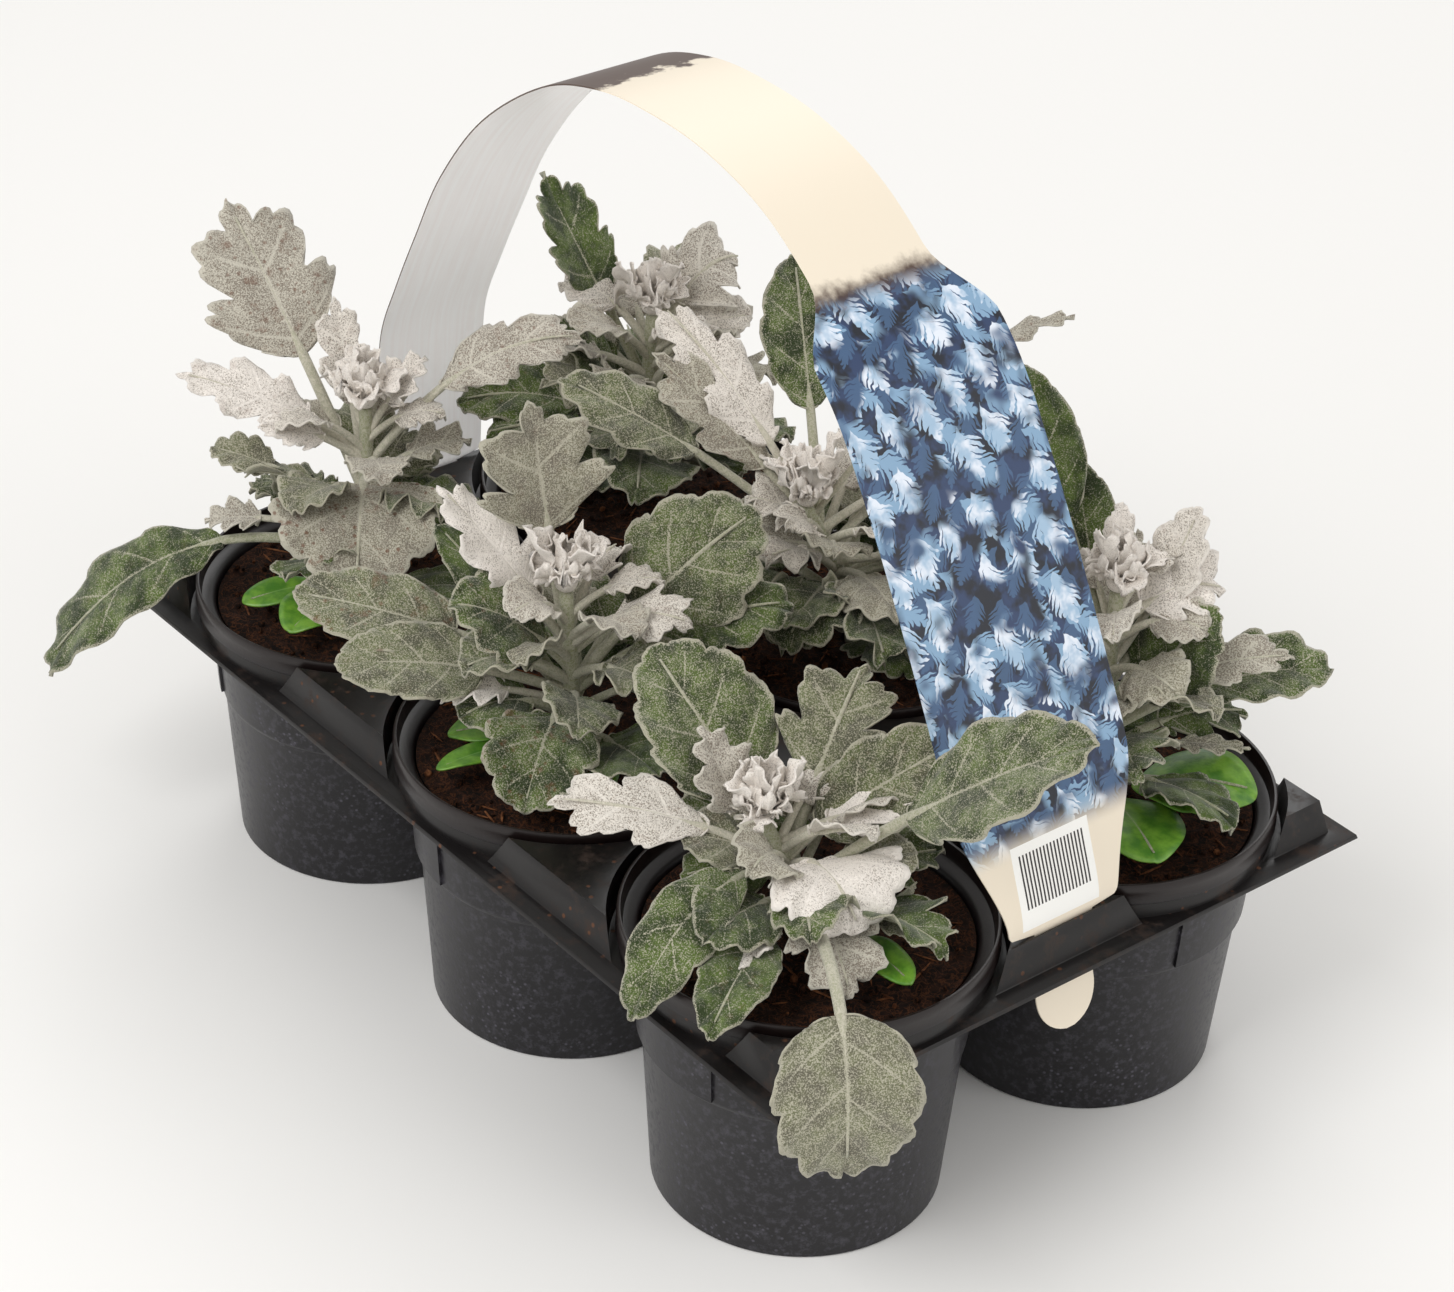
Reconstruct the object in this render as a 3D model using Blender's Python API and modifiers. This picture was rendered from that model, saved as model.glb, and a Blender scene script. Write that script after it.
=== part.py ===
# Six potted dusty millers in a carry tray with a strip handle.
# Metres, +Z up. X runs along the side with three pots, Y along the side with two.
# The origin is on the floor, under the middle of the whole object.
import bpy
import bmesh
import math
import random
from mathutils import Matrix, Vector

MM = 0.001

# The middle of the six pots, seen from the origin
GRID_X = -5.7 * MM
GRID_Y = 13.7 * MM

# Pots, and the pitch at which the tray holds them
PITCH = 110.0 * MM
SIDES = 20                      # flat sides of a turned pot
RIM_RADIUS = 54.2 * MM
RIM_TOP = 91.0 * MM
RIM_BOTTOM = 84.0 * MM
BODY_TOP_RADIUS = 49.3 * MM
BASE_RADIUS = 42.4 * MM
WALL = 1.3 * MM
STEP_HEIGHT = 53.0 * MM         # the ledge that keeps stacked pots apart
STEP_IN = 0.7 * MM              # how far the wall steps in below that ledge
STEP_SLOPE = 1.5 * MM
RIM_LIP = 1.4 * MM              # the rim's own thickness
RIM_DRAFT = 0.3 * MM
SHOULDER_SLOPE = 1.4 * MM       # inside, from the wall out to the rim
BASE_RECESS = 3.0 * MM
FOOT_RING = 4.0 * MM
FOOT_DRAFT = 0.5 * MM
INNER_DRAFT = 0.3 * MM
DRAIN_HOLES = 3
DRAIN_RADIUS = 3.0 * MM
DRAIN_REACH = 0.6               # of the base's radius
DRAIN_TURN = 15                 # degrees
GAP = 0.3 * MM                  # between pieces that touch
INNER_BASE = BASE_RADIUS - WALL - INNER_DRAFT
INNER_TOP = BODY_TOP_RADIUS - WALL - 0.2 * MM

# Tray: one thin sheet with raised islands between the pots
TRAY_HALF_X = 165.5 * MM
TRAY_HALF_Y = 111.2 * MM
FLANGE_TOP = 79.0 * MM
ISLAND_TOP = 90.0 * MM
SKIRT_FOOT = 6.0 * MM           # from the sheet's edge to the foot of the islands
SKIRT_HEAD = 9.0 * MM           # from the sheet's edge to the top of the islands
SHEET = 1.2 * MM
WELL_RADIUS = 56.4 * MM
HOLE_RADIUS = 50.4 * MM
COLLAR_RADIUS = 53.2 * MM

# Handle: one printed plastic strip, bent into an arch over the middle
STRIP = 0.8 * MM
STRIP_HALF = 20.5 * MM
LABEL_HALF = 33.0 * MM
TONGUE_HALF = 11.0 * MM
SLOT_X = 155.0 * MM
TONGUE_TIP = 57.0 * MM
TONGUE_END = 0.12               # the square of the share of its width that the tongue's tip keeps
LABEL_TOP = 254.0 * MM          # the label widens below this height
LABEL_EASE = 16.0 * MM
FOOT_EASE = 42.0 * MM           # the height over which it narrows again to its shoulders
# Points of the arch: x and z in mm
ARCH = ((-162, 57), (-159, 66), (-155.6, 78), (-155, 90), (-154.5, 105), (-154, 125), (-152, 148),
        (-143, 169), (-132, 191), (-118, 217), (-96, 244), (-66, 266), (-40, 275), (-16, 277),
        (10, 275), (36, 267), (59, 252), (83, 231), (100, 206), (114, 182), (128, 156), (141, 130),
        (149, 110), (154, 97), (155, 90), (155.6, 78), (159, 66), (162, 57))

# Soil
SOIL_TOP = 83.6 * MM
SOIL_SHOULDER = 26.0 * MM       # the level middle of the soil's top
SOIL_FALL = 1.2 * MM            # from there to its edge
SOIL_ROUGH = 0.9 * MM
SOIL_CLEAR = 0.5 * MM           # between the soil and the pot's wall
STEM_RADIUS = 4.2 * MM
STEM_SUNK = 22.0 * MM

# Leaves
BLADE = 0.8 * MM
STALK = 2.4 * MM
STALK_HALF = 1.2 * MM
STEM_TAPER = 0.32
STEM_BEND = 1.4                 # the power by which a stem leans out with its height
LARGE_LEAF = 25.0 * MM          # wider blades have a middle rib and more lobes

# Blade forms: lobes on each side, their depth, where the blade is widest, how full it is, its fold
FORMS = {
    "round": (3, 0.10, 0.85, 0.50, 12),
    "spat": (2, 0.06, 0.95, 0.62, 14),
    "lobed": (4, 0.34, 0.95, 0.55, 10),
    "frond": (4, 0.42, 0.85, 0.60, 16),
    "young": (2, 0.30, 0.90, 0.60, 16),
    "plain": (2, 0.0, 0.95, 0.55, 8),
}

# One row for each leaf: form, heading in degrees, where it leaves the stem, how far its tip
# reaches, the tip's height, the blade's width, how far it bows up, and then in shares of the
# length and in degrees: the stalk, the roll of the blade, and how far out the bow lies.
# Lengths are in mm and heights are above the floor.
PLANTS = (
    dict(lean=(-4, 3), top=148, leaves=(
        ("lobed", 186, 118, 66, 198, 48, 3, 0.45, 20, 0.5),
        ("lobed", 165, 122, 28, 176, 18, 2, 0.40, 15, 0.5),
        ("frond", 225, 132, 59, 158, 21, 4, 0.30, 35, 0.5),
        ("frond", 242, 130, 33, 146, 15, 4, 0.40, 30, 0.5),
        ("frond", 70, 138, 20, 166, 16, 3, 0.35, -25, 0.5),
        ("round", 322, 124, 44, 112, 54, 9, 0.20, 0, 0.5),
        ("round", 222, 108, 50, 131, 15, 4, 0.60, 20, 0.5),
        ("frond", 232, 100, 51, 109, 13, 5, 0.65, 20, 0.5),
        ("spat", 236, 97, 105, 55, 30, 24, 0.38, 20, 0.6),
        ("plain", 258, 88, 42, 91, 13, 2, 0.40, 10, 0.5),
        ("plain", 293, 88, 44, 93, 20, 3, 0.40, 0, 0.5),
        ("lobed", 58, 128, 69, 174, 24, 14, 0.35, -35, 0.5),
        ("round", 125, 100, 46, 116, 28, 8, 0.45, 0, 0.5),
        ("round", 190, 98, 50, 106, 26, 6, 0.50, 0, 0.5),
    )),
    dict(lean=(-4, -1), top=138, leaves=(
        ("frond", 214, 118, 43, 167, 22, 3, 0.30, 30, 0.5),
        ("lobed", 180, 112, 24, 192, 44, -2, 0.55, 15, 0.5),
        ("round", 72, 106, 56, 158, 44, 5, 0.35, -35, 0.5),
        ("lobed", 22, 120, 39, 142, 25, 7, 0.35, -20, 0.5),
        ("spat", 248, 112, 38, 141, 32, 6, 0.20, 30, 0.5),
        ("round", 305, 100, 47, 92, 35, 10, 0.35, 5, 0.5),
        ("round", 242, 104, 71, 120, 28, 5, 0.38, 30, 0.5),
        ("round", 226, 108, 84, 132, 28, 4, 0.42, 30, 0.5),
        ("spat", 200, 100, 50, 146, 20, 4, 0.35, 15, 0.5),
        ("round", 55, 104, 64, 136, 28, 8, 0.35, -30, 0.5),
        ("plain", 262, 87, 46, 92, 10, 3, 0.45, 0, 0.5),
        ("plain", 240, 88, 38, 93, 15, 3, 0.40, 0, 0.5),
        ("frond", 250, 100, 41, 112, 16, 3, 0.50, 10, 0.5),
        ("round", 120, 100, 50, 112, 30, 7, 0.40, 0, 0.5),
        ("plain", 335, 89, 38, 94, 15, 3, 0.40, 0, 0.5),
    )),
    dict(lean=(-10, -10), top=119, leaves=(
        ("round", 195, 104, 58, 155, 42, 2, 0.33, 20, 0.5),
        ("lobed", 230, 106, 74, 125, 24, 5, 0.33, 30, 0.5),
        ("frond", 212, 106, 34, 144, 22, -3, 0.45, 25, 0.6),
        ("round", 68, 108, 44, 142, 28, 3, 0.20, -35, 0.5),
        ("spat", 26, 98, 79, 172, 36, 6, 0.38, -30, 0.5),
        ("round", 343, 104, 34, 107, 42, 10, 0.30, 0, 0.5),
        ("lobed", 335, 96, 44, 93, 30, 8, 0.40, 0, 0.5),
        ("frond", 291, 94, 46, 98, 18, 5, 0.50, 0, 0.5),
        ("spat", 234, 98, 37, 102, 24, 5, 0.25, 20, 0.5),
        ("spat", 215, 100, 22, 110, 18, 3, 0.20, 15, 0.5),
        ("spat", 273, 104, 66, 84, 22, 16, 0.25, 20, 0.6),
        ("spat", 296, 94, 66, 92, 22, 7, 0.40, 0, 0.5),
        ("round", 329, 96, 75, 55, 42, 27, 0.52, 0, 1.12),
        ("plain", 358, 88, 45, 94, 14, 3, 0.45, 0, 0.5),
        ("frond", 12, 94, 47, 100, 10, 3, 0.50, 0, 0.5),
        ("frond", 60, 112, 37, 131, 20, 2, 0.30, -20, 0.5),
        ("lobed", 122, 106, 41, 150, 36, 3, 0.35, 0, 0.5),
    )),
    dict(lean=(-4, 5), top=152, leaves=(
        ("round", 44, 106, 28, 153, 34, 0, 0.35, -50, 0.5),
        ("spat", 60, 106, 69, 125, 26, 7, 0.40, -20, 0.5),
        ("lobed", 50, 114, 54, 137, 18, 5, 0.35, -30, 0.5),
        ("lobed", 62, 138, 34, 154, 28, 8, 0.25, -30, 0.5),
        ("round", 78, 128, 26, 178, 20, -3, 0.40, -20, 0.6),
        ("frond", 40, 98, 44, 108, 9, 4, 0.50, 0, 0.5),
        ("plain", 36, 88, 48, 97, 30, 4, 0.28, -5, 0.5),
        ("plain", 338, 88, 48, 95, 29, 3, 0.28, 0, 0.5),
        ("plain", 5, 92, 36, 98, 12, 3, 0.40, 0, 0.5),
        ("spat", 172, 130, 58, 203, 26, 2, 0.45, 20, 0.5),
        ("spat", 157, 124, 40, 178, 20, 2, 0.40, 10, 0.5),
        ("round", 110, 104, 50, 122, 32, 8, 0.40, 0, 0.5),
        ("lobed", 128, 116, 46, 152, 26, 6, 0.40, 0, 0.5),
        ("round", 205, 102, 46, 120, 28, 7, 0.40, 0, 0.5),
    )),
    dict(lean=(-9, -15), top=132, leaves=(
        ("round", 296, 102, 54, 112, 42, 8, 0.30, 0, 0.5),
        ("frond", 200, 124, 77, 180, 24, 7, 0.30, 25, 0.5),
        ("spat", 225, 114, 95, 168, 24, 5, 0.50, 25, 0.5),
        ("lobed", 213, 118, 70, 171, 26, 4, 0.35, 30, 0.5),
        ("lobed", 276, 108, 42, 130, 22, 5, 0.40, 0, 0.5),
        ("spat", 165, 122, 58, 192, 26, 4, 0.40, 15, 0.5),
        ("round", 25, 104, 50, 120, 34, 8, 0.40, 0, 0.5),
        ("round", 72, 102, 52, 122, 34, 8, 0.40, 0, 0.5),
        ("lobed", 105, 112, 50, 150, 30, 8, 0.40, 0, 0.5),
        ("round", 135, 100, 52, 112, 30, 8, 0.40, 0, 0.5),
        ("frond", 50, 128, 60, 201, 11, 14, 0.60, 0, 0.5),
    )),
    dict(lean=(0, 2), top=150, leaves=(
        ("lobed", 205, 124, 40, 192, 32, 0, 0.40, 15, 0.5),
        ("lobed", 75, 134, 34, 166, 34, 12, 0.30, -30, 0.5),
        ("spat", 238, 112, 30, 148, 26, 3, 0.30, 20, 0.5),
        ("spat", 229, 104, 63, 115, 26, 9, 0.35, 25, 0.5),
        ("frond", 30, 124, 26, 150, 18, 3, 0.35, -20, 0.5),
        ("round", 150, 104, 50, 122, 32, 8, 0.40, 0, 0.5),
        ("round", 105, 100, 50, 112, 30, 8, 0.40, 0, 0.5),
        ("spat", 188, 98, 52, 106, 26, 7, 0.45, 0, 0.5),
        ("lobed", 128, 116, 48, 156, 28, 6, 0.40, 0, 0.5),
        ("round", 335, 104, 46, 124, 28, 8, 0.40, 0, 0.5),
    )),
)

# Young leaves of a crown: heading, reach, height above the stem's end, width
CROWN = ((20, 9, 24, 11), (140, 8, 28, 12), (265, 10, 19, 11))
BUD_RADIUS = 4.6 * MM
CROWN_TURN = 37                 # degrees from one crown to the next


def material(name, colour, roughness, metallic=0.0):
    mat = bpy.data.materials.new(name)
    mat.use_nodes = True
    shader = mat.node_tree.nodes["Principled BSDF"]
    shader.inputs["Base Color"].default_value = (*colour, 1.0)
    shader.inputs["Roughness"].default_value = roughness
    shader.inputs["Metallic"].default_value = metallic
    return mat


def add_object(name, mesh, mat, collection):
    piece = bpy.data.objects.new(name, mesh)
    if mat:
        mesh.materials.append(mat)
    collection.objects.link(piece)
    return piece


def baked(source, name, mat, collection, weld=0.00002):
    """The evaluated mesh of source as a new, welded object; source is removed."""
    bpy.context.view_layer.update()
    shaped = source.evaluated_get(bpy.context.evaluated_depsgraph_get())
    mesh = bpy.data.meshes.new_from_object(shaped)
    mesh.materials.clear()
    mesh.transform(source.matrix_world)
    shape = bmesh.new()
    shape.from_mesh(mesh)
    bmesh.ops.remove_doubles(shape, verts=shape.verts, dist=weld)
    shape.to_mesh(mesh)
    shape.free()
    bpy.data.objects.remove(source, do_unlink=True)
    return add_object(name, mesh, mat, collection)


def boolean(piece, operation, other, solver="EXACT"):
    """A Boolean modifier with one object, or with all objects of a collection."""
    mod = piece.modifiers.new(operation.lower(), "BOOLEAN")
    mod.operation = operation
    mod.solver = solver
    if isinstance(other, bpy.types.Collection):
        mod.operand_type = "COLLECTION"
        mod.collection = other
    else:
        mod.object = other
    return mod


def cutter_of(piece):
    piece.hide_render = True
    piece.display_type = "WIRE"
    return piece


def turned(name, profile, mat, collection, sides=SIDES):
    """A profile of (radius, height) points, turned round Z."""
    mesh = bpy.data.meshes.new(name)
    points = [(r, 0.0, z) for r, z in profile]
    mesh.from_pydata(points, [(i, i + 1) for i in range(len(points) - 1)], [])
    piece = add_object(name, mesh, mat, collection)
    screw = piece.modifiers.new("turn", "SCREW")
    screw.axis = "Z"
    screw.steps = sides
    screw.render_steps = sides
    screw.use_merge_vertices = True
    screw.merge_threshold = 0.00001
    screw.use_smooth_shade = False
    return piece


def cylinder(name, radius, low, high, x, y, collection, sides=SIDES):
    shape = bmesh.new()
    bmesh.ops.create_cone(shape, cap_ends=True, segments=sides, radius1=radius, radius2=radius,
                          depth=high - low)
    bmesh.ops.translate(shape, verts=shape.verts, vec=(x, y, (low + high) / 2))
    mesh = bpy.data.meshes.new(name)
    shape.to_mesh(mesh)
    shape.free()
    return add_object(name, mesh, None, collection)


def tapered_block(name, foot_x, foot_y, head_x, head_y, low, high, collection):
    """A cube whose lower face has the foot's half sizes and whose upper face the head's."""
    shape = bmesh.new()
    bmesh.ops.create_cube(shape, size=2.0)
    for v in shape.verts:
        half_x, half_y = (head_x, head_y) if v.co.z > 0 else (foot_x, foot_y)
        v.co = (v.co.x * half_x, v.co.y * half_y, high if v.co.z > 0 else low)
    mesh = bpy.data.meshes.new(name)
    shape.to_mesh(mesh)
    shape.free()
    return add_object(name, mesh, None, collection)


def pot_places():
    """The six pot axes: the near row from left to right, then the far row back again."""
    columns = (-PITCH, 0.0, PITCH)
    near = [(x, -PITCH / 2) for x in columns]
    far = [(x, PITCH / 2) for x in reversed(columns)]
    return near + far


def make_pot(number, x, y, mat, collection, cutters):
    floor_top = BASE_RECESS + WALL
    step_radius = BODY_TOP_RADIUS - 2.3 * MM
    profile = (
        (0.0, floor_top),
        (INNER_BASE, floor_top),
        (INNER_TOP, RIM_BOTTOM - 0.5 * MM),
        (RIM_RADIUS - RIM_LIP - 0.2 * MM, RIM_BOTTOM + SHOULDER_SLOPE),
        (RIM_RADIUS - RIM_LIP, RIM_TOP),
        (RIM_RADIUS - RIM_DRAFT, RIM_TOP),
        (RIM_RADIUS, RIM_BOTTOM),
        (BODY_TOP_RADIUS, RIM_BOTTOM),
        (step_radius, STEP_HEIGHT),
        (step_radius - STEP_IN, STEP_HEIGHT - STEP_SLOPE),
        (BASE_RADIUS, 0.0),
        (BASE_RADIUS - FOOT_RING, 0.0),
        (BASE_RADIUS - FOOT_RING - FOOT_DRAFT, BASE_RECESS),
        (0.0, BASE_RECESS),
    )
    pot = turned(f"pot_{number}", profile, mat, collection)
    drains = bpy.data.collections.new(f"drains_{number}")
    cutters.children.link(drains)
    for i in range(DRAIN_HOLES):
        turn = math.radians(360 / DRAIN_HOLES * i + DRAIN_TURN)
        reach = BASE_RADIUS * DRAIN_REACH
        hole = cylinder(f"drain_{number}_{i}", DRAIN_RADIUS, 1.0 * MM, 6.0 * MM,
                        reach * math.cos(turn), reach * math.sin(turn), drains, sides=5)
        cutter_of(hole)
    boolean(pot, "DIFFERENCE", drains)
    pot = baked(pot, f"pot_{number}", mat, collection)
    for hole in list(drains.objects):
        bpy.data.objects.remove(hole, do_unlink=True)
    pot.location = (x, y, 0.0)
    return pot


def make_soil(number, x, y, mat, collection, cutters):
    rng = random.Random(40 + number)
    floor = BASE_RECESS + WALL + GAP
    profile = (
        (0.0, SOIL_TOP),
        (SOIL_SHOULDER, SOIL_TOP),
        (INNER_TOP - SOIL_CLEAR, SOIL_TOP - SOIL_FALL),
        (INNER_BASE - SOIL_CLEAR, floor),
        (0.0, floor),
    )
    soil = baked(turned(f"soil_{number}", profile, mat, collection), f"soil_{number}", mat, collection)
    for v in soil.data.vertices:
        from_axis = math.hypot(v.co.x, v.co.y)
        if v.co.z > SOIL_TOP - SOIL_FALL / 2 and from_axis < INNER_TOP - 4 * SOIL_CLEAR:
            v.co.z += rng.uniform(-SOIL_ROUGH, SOIL_ROUGH)
    hole = cylinder(f"stem_hole_{number}", STEM_RADIUS + GAP, SOIL_TOP - STEM_SUNK - 2 * GAP,
                    SOIL_TOP + 8.0 * MM, 0.0, 0.0, cutters, sides=8)
    boolean(soil, "DIFFERENCE", cutter_of(hole))
    soil = baked(soil, f"soil_{number}", mat, collection)
    bpy.data.objects.remove(hole, do_unlink=True)
    soil.location = (x, y, 0.0)
    return soil


def make_tray(mat, collection, cutters):
    islands = tapered_block("tray", TRAY_HALF_X - SKIRT_FOOT, TRAY_HALF_Y - SKIRT_FOOT,
                            TRAY_HALF_X - SKIRT_HEAD, TRAY_HALF_Y - SKIRT_HEAD,
                            FLANGE_TOP - SHEET, ISLAND_TOP, collection)
    inside = tapered_block("islands_inside", TRAY_HALF_X - SKIRT_FOOT - SHEET,
                           TRAY_HALF_Y - SKIRT_FOOT - SHEET, TRAY_HALF_X - SKIRT_HEAD - SHEET,
                           TRAY_HALF_Y - SKIRT_HEAD - SHEET, FLANGE_TOP - 2 * SHEET,
                           ISLAND_TOP - SHEET, cutters)
    wells = bpy.data.collections.new("wells")
    inner_wells = bpy.data.collections.new("inner_wells")
    collars = bpy.data.collections.new("collars")
    holes = bpy.data.collections.new("holes")
    for group in (wells, inner_wells, collars, holes):
        cutters.children.link(group)
    for i, (x, y) in enumerate(pot_places()):
        cutter_of(cylinder(f"well_{i}", WELL_RADIUS, FLANGE_TOP, ISLAND_TOP + SHEET, x, y, wells))
        cutter_of(cylinder(f"inner_well_{i}", WELL_RADIUS + SHEET, FLANGE_TOP - 4 * SHEET,
                           ISLAND_TOP + SHEET, x, y, inner_wells))
        cutter_of(cylinder(f"collar_{i}", COLLAR_RADIUS, FLANGE_TOP - SHEET, RIM_BOTTOM - GAP,
                           x, y, collars))
        cutter_of(cylinder(f"hole_{i}", HOLE_RADIUS, FLANGE_TOP - 3 * SHEET, RIM_BOTTOM + SHEET,
                           x, y, holes))
    boolean(inside, "DIFFERENCE", inner_wells)
    inside = cutter_of(baked(inside, "islands_inside", None, cutters))
    plate = tapered_block("plate", TRAY_HALF_X, TRAY_HALF_Y, TRAY_HALF_X - 0.4 * MM,
                          TRAY_HALF_Y - 0.4 * MM, FLANGE_TOP - SHEET, FLANGE_TOP, cutters)
    boolean(islands, "DIFFERENCE", wells)
    boolean(islands, "UNION", cutter_of(plate))
    boolean(islands, "UNION", collars)
    boolean(islands, "DIFFERENCE", holes)
    boolean(islands, "DIFFERENCE", inside)
    slots = []
    for side in (-1, 1):
        slot = tapered_block("slot", 0.9 * MM, TONGUE_HALF + 0.5 * MM, 0.9 * MM,
                             TONGUE_HALF + 0.5 * MM, FLANGE_TOP + SHEET, ISLAND_TOP + SHEET, cutters)
        slot.location.x = side * SLOT_X
        slots.append(cutter_of(slot))
        boolean(islands, "DIFFERENCE", slot)
    tray = baked(islands, "tray", mat, collection)
    for group in (wells, inner_wells, collars, holes):
        for tool in list(group.objects):
            bpy.data.objects.remove(tool, do_unlink=True)
    for tool in (inside, plate, *slots):
        bpy.data.objects.remove(tool, do_unlink=True)
    return tray


def eased(share):
    share = max(0.0, min(1.0, share))
    return share * share * (3 - 2 * share)


def arch_point(t):
    """A point of the arch at t, counted in its listed points, on a smooth curve through them."""
    i = min(int(t), len(ARCH) - 2)
    f = t - i
    before, start, end, after = (ARCH[max(0, min(len(ARCH) - 1, i + k))] for k in (-1, 0, 1, 2))
    place = []
    for a, b, c, d in zip(before, start, end, after):
        place.append(0.5 * (2 * b + (c - a) * f + (2 * a - 5 * b + 4 * c - d) * f ** 2
                            + (3 * b - a - 3 * c + d) * f ** 3))
    return place[0] * MM, place[1] * MM


def strip_half(x, z):
    """Half the strip's width: the label widens on the right arm and narrows to its shoulders."""
    if z < ISLAND_TOP + GAP:
        rounded = min(1.0, (z - TONGUE_TIP) / TONGUE_HALF)
        return TONGUE_HALF * math.sqrt(max(TONGUE_END, 1 - (1 - rounded) ** 2))
    if x < 0:
        return STRIP_HALF
    label = STRIP_HALF + (LABEL_HALF - STRIP_HALF) * eased((LABEL_TOP - z) / LABEL_EASE)
    foot = eased((z - ISLAND_TOP) / FOOT_EASE)
    return STRIP_HALF + (label - STRIP_HALF) * foot


def make_handle(mat, collection):
    rows = [arch_point(t) for t in range(len(ARCH))]
    sections = [(x, z, strip_half(x, z)) for x, z in rows]
    # A second section at each shoulder makes the step from the strip to its tongue square
    for side in (-1, 1):
        foot = (side * SLOT_X, ISLAND_TOP + GAP)
        nearest = min(range(len(sections)), key=lambda i: math.dist(sections[i][:2], foot))
        sections[nearest] = (*foot, TONGUE_HALF)
        sections.insert(nearest + (1 if side < 0 else 0), (foot[0], foot[1] + 0.3 * MM, STRIP_HALF))
    shape = bmesh.new()
    bmesh.ops.create_grid(shape, x_segments=len(sections) - 1, y_segments=2, size=1.0)
    for v in shape.verts:
        x, z, half = sections[round((v.co.x + 1) / 2 * (len(sections) - 1))]
        v.co = (x, v.co.y * half, z)
    bmesh.ops.triangulate(shape, faces=shape.faces)
    mesh = bpy.data.meshes.new("handle")
    shape.to_mesh(mesh)
    shape.free()
    handle = add_object("handle", mesh, mat, collection)
    sheet = handle.modifiers.new("sheet", "SOLIDIFY")
    sheet.thickness = STRIP
    sheet.offset = 0.0
    return handle


def half_width(form, lobes, width, t):
    """Half the blade's width at t, from 0 at its foot to 1 at its tip."""
    _, depth, early, full, _ = FORMS[form]
    swell = math.sin(math.pi * min(max(t, 0.0), 1.0) ** early) ** full
    notch = 0.5 + 0.5 * math.cos(2 * math.pi * lobes * t)
    fade = min(1.0, (1 - t) * 4)
    return max(STALK_HALF, width / 2 * swell * (1 - depth * notch * fade))


def stem_point(plant, height):
    """The stem's axis: upright in the soil, then leaning towards the crown."""
    share = max(0.0, (height - SOIL_TOP) / (plant["top"] * MM - SOIL_TOP))
    lean_x, lean_y = plant["lean"]
    bend = share ** STEM_BEND
    return Vector((lean_x * MM * bend, lean_y * MM * bend, height))


def make_leaf(name, root, row, collection):
    form, heading, _, reach, tip, width, bow, stalk, roll, out = row
    width = width * MM
    large = width > LARGE_LEAF
    lobes = FORMS[form][0] if large else min(3, FORMS[form][0])
    fold = math.radians(FORMS[form][4])
    turn = math.radians(heading)
    away = Vector((math.cos(turn), math.sin(turn), 0.0))
    level = Vector((-math.sin(turn), math.cos(turn), 0.0))
    end = away * reach * MM + Vector((0.0, 0.0, tip * MM))
    crest = away * (reach * MM * out)
    crest.z = (root.z + end.z) / 2 + 2 * bow * MM
    crest += Vector((root.x, root.y, 0.0)) * 0.5
    blade_rows = [k / (2 * lobes) for k in range(2 * lobes)] + [1.0]
    if large and form == "round":
        blade_rows.insert(-1, 1 - 0.15 / lobes)
    rows = [0.0] + [stalk + (1 - stalk) * t for t in blade_rows]
    shape = bmesh.new()
    bmesh.ops.create_grid(shape, x_segments=len(rows) - 1, y_segments=2 if large else 1, size=1.0)
    thick = []
    for v in shape.verts:
        index = round((v.co.x + 1) / 2 * (len(rows) - 1))
        s, side = rows[index], v.co.y
        place = root * (1 - s) ** 2 + crest * 2 * s * (1 - s) + end * s * s
        along = ((crest - root) * (1 - s) + (end - crest) * s).normalized()
        t = (s - stalk) / (1 - stalk)
        tilt = math.radians(roll) * eased(s / stalk)
        across = (level - along * level.dot(along)).normalized()
        upward = along.cross(across)
        across, upward = (across * math.cos(tilt) - upward * math.sin(tilt),
                          upward * math.cos(tilt) + across * math.sin(tilt))
        half = half_width(form, lobes, width, t) if t > 0 else STALK_HALF
        lift = math.sin(fold) * eased(t * 3) if t > 0 else 0.0
        v.co = place + across * side * half + upward * abs(side) * half * lift
        thick.append(1.0 if t <= 0.02 else 0.0)
    bmesh.ops.triangulate(shape, faces=shape.faces)
    mesh = bpy.data.meshes.new(name)
    shape.to_mesh(mesh)
    shape.free()
    leaf = add_object(name, mesh, None, collection)
    group = leaf.vertex_groups.new(name="stalk")
    for i, weight in enumerate(thick):
        group.add([i], weight, "REPLACE")
    sheet = leaf.modifiers.new("sheet", "SOLIDIFY")
    sheet.thickness = STALK
    sheet.offset = 0.0
    sheet.vertex_group = "stalk"
    sheet.thickness_vertex_group = BLADE / STALK
    return baked(leaf, name, None, collection)


def make_stem(name, plant, mat, collection):
    """A tapering tube from the bottom of its hole in the soil to the crown."""
    low, top = SOIL_TOP - STEM_SUNK, plant["top"] * MM
    heights = [low, SOIL_TOP + 1.0 * MM] + [SOIL_TOP + (top - SOIL_TOP) * k / 3 for k in (1, 2, 3)]
    curve = bpy.data.curves.new(name, "CURVE")
    curve.dimensions = "3D"
    curve.bevel_depth = STEM_RADIUS - 0.2 * MM
    curve.bevel_resolution = 1
    curve.use_fill_caps = True
    spline = curve.splines.new("POLY")
    spline.points.add(len(heights) - 1)
    for i, height in enumerate(heights):
        spline.points[i].co = (*stem_point(plant, height), 1.0)
        spline.points[i].radius = 1.0 - STEM_TAPER * max(0, i - 1) / (len(heights) - 2)
    stem = bpy.data.objects.new(name, curve)
    collection.objects.link(stem)
    return baked(stem, name, mat, collection)


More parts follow.
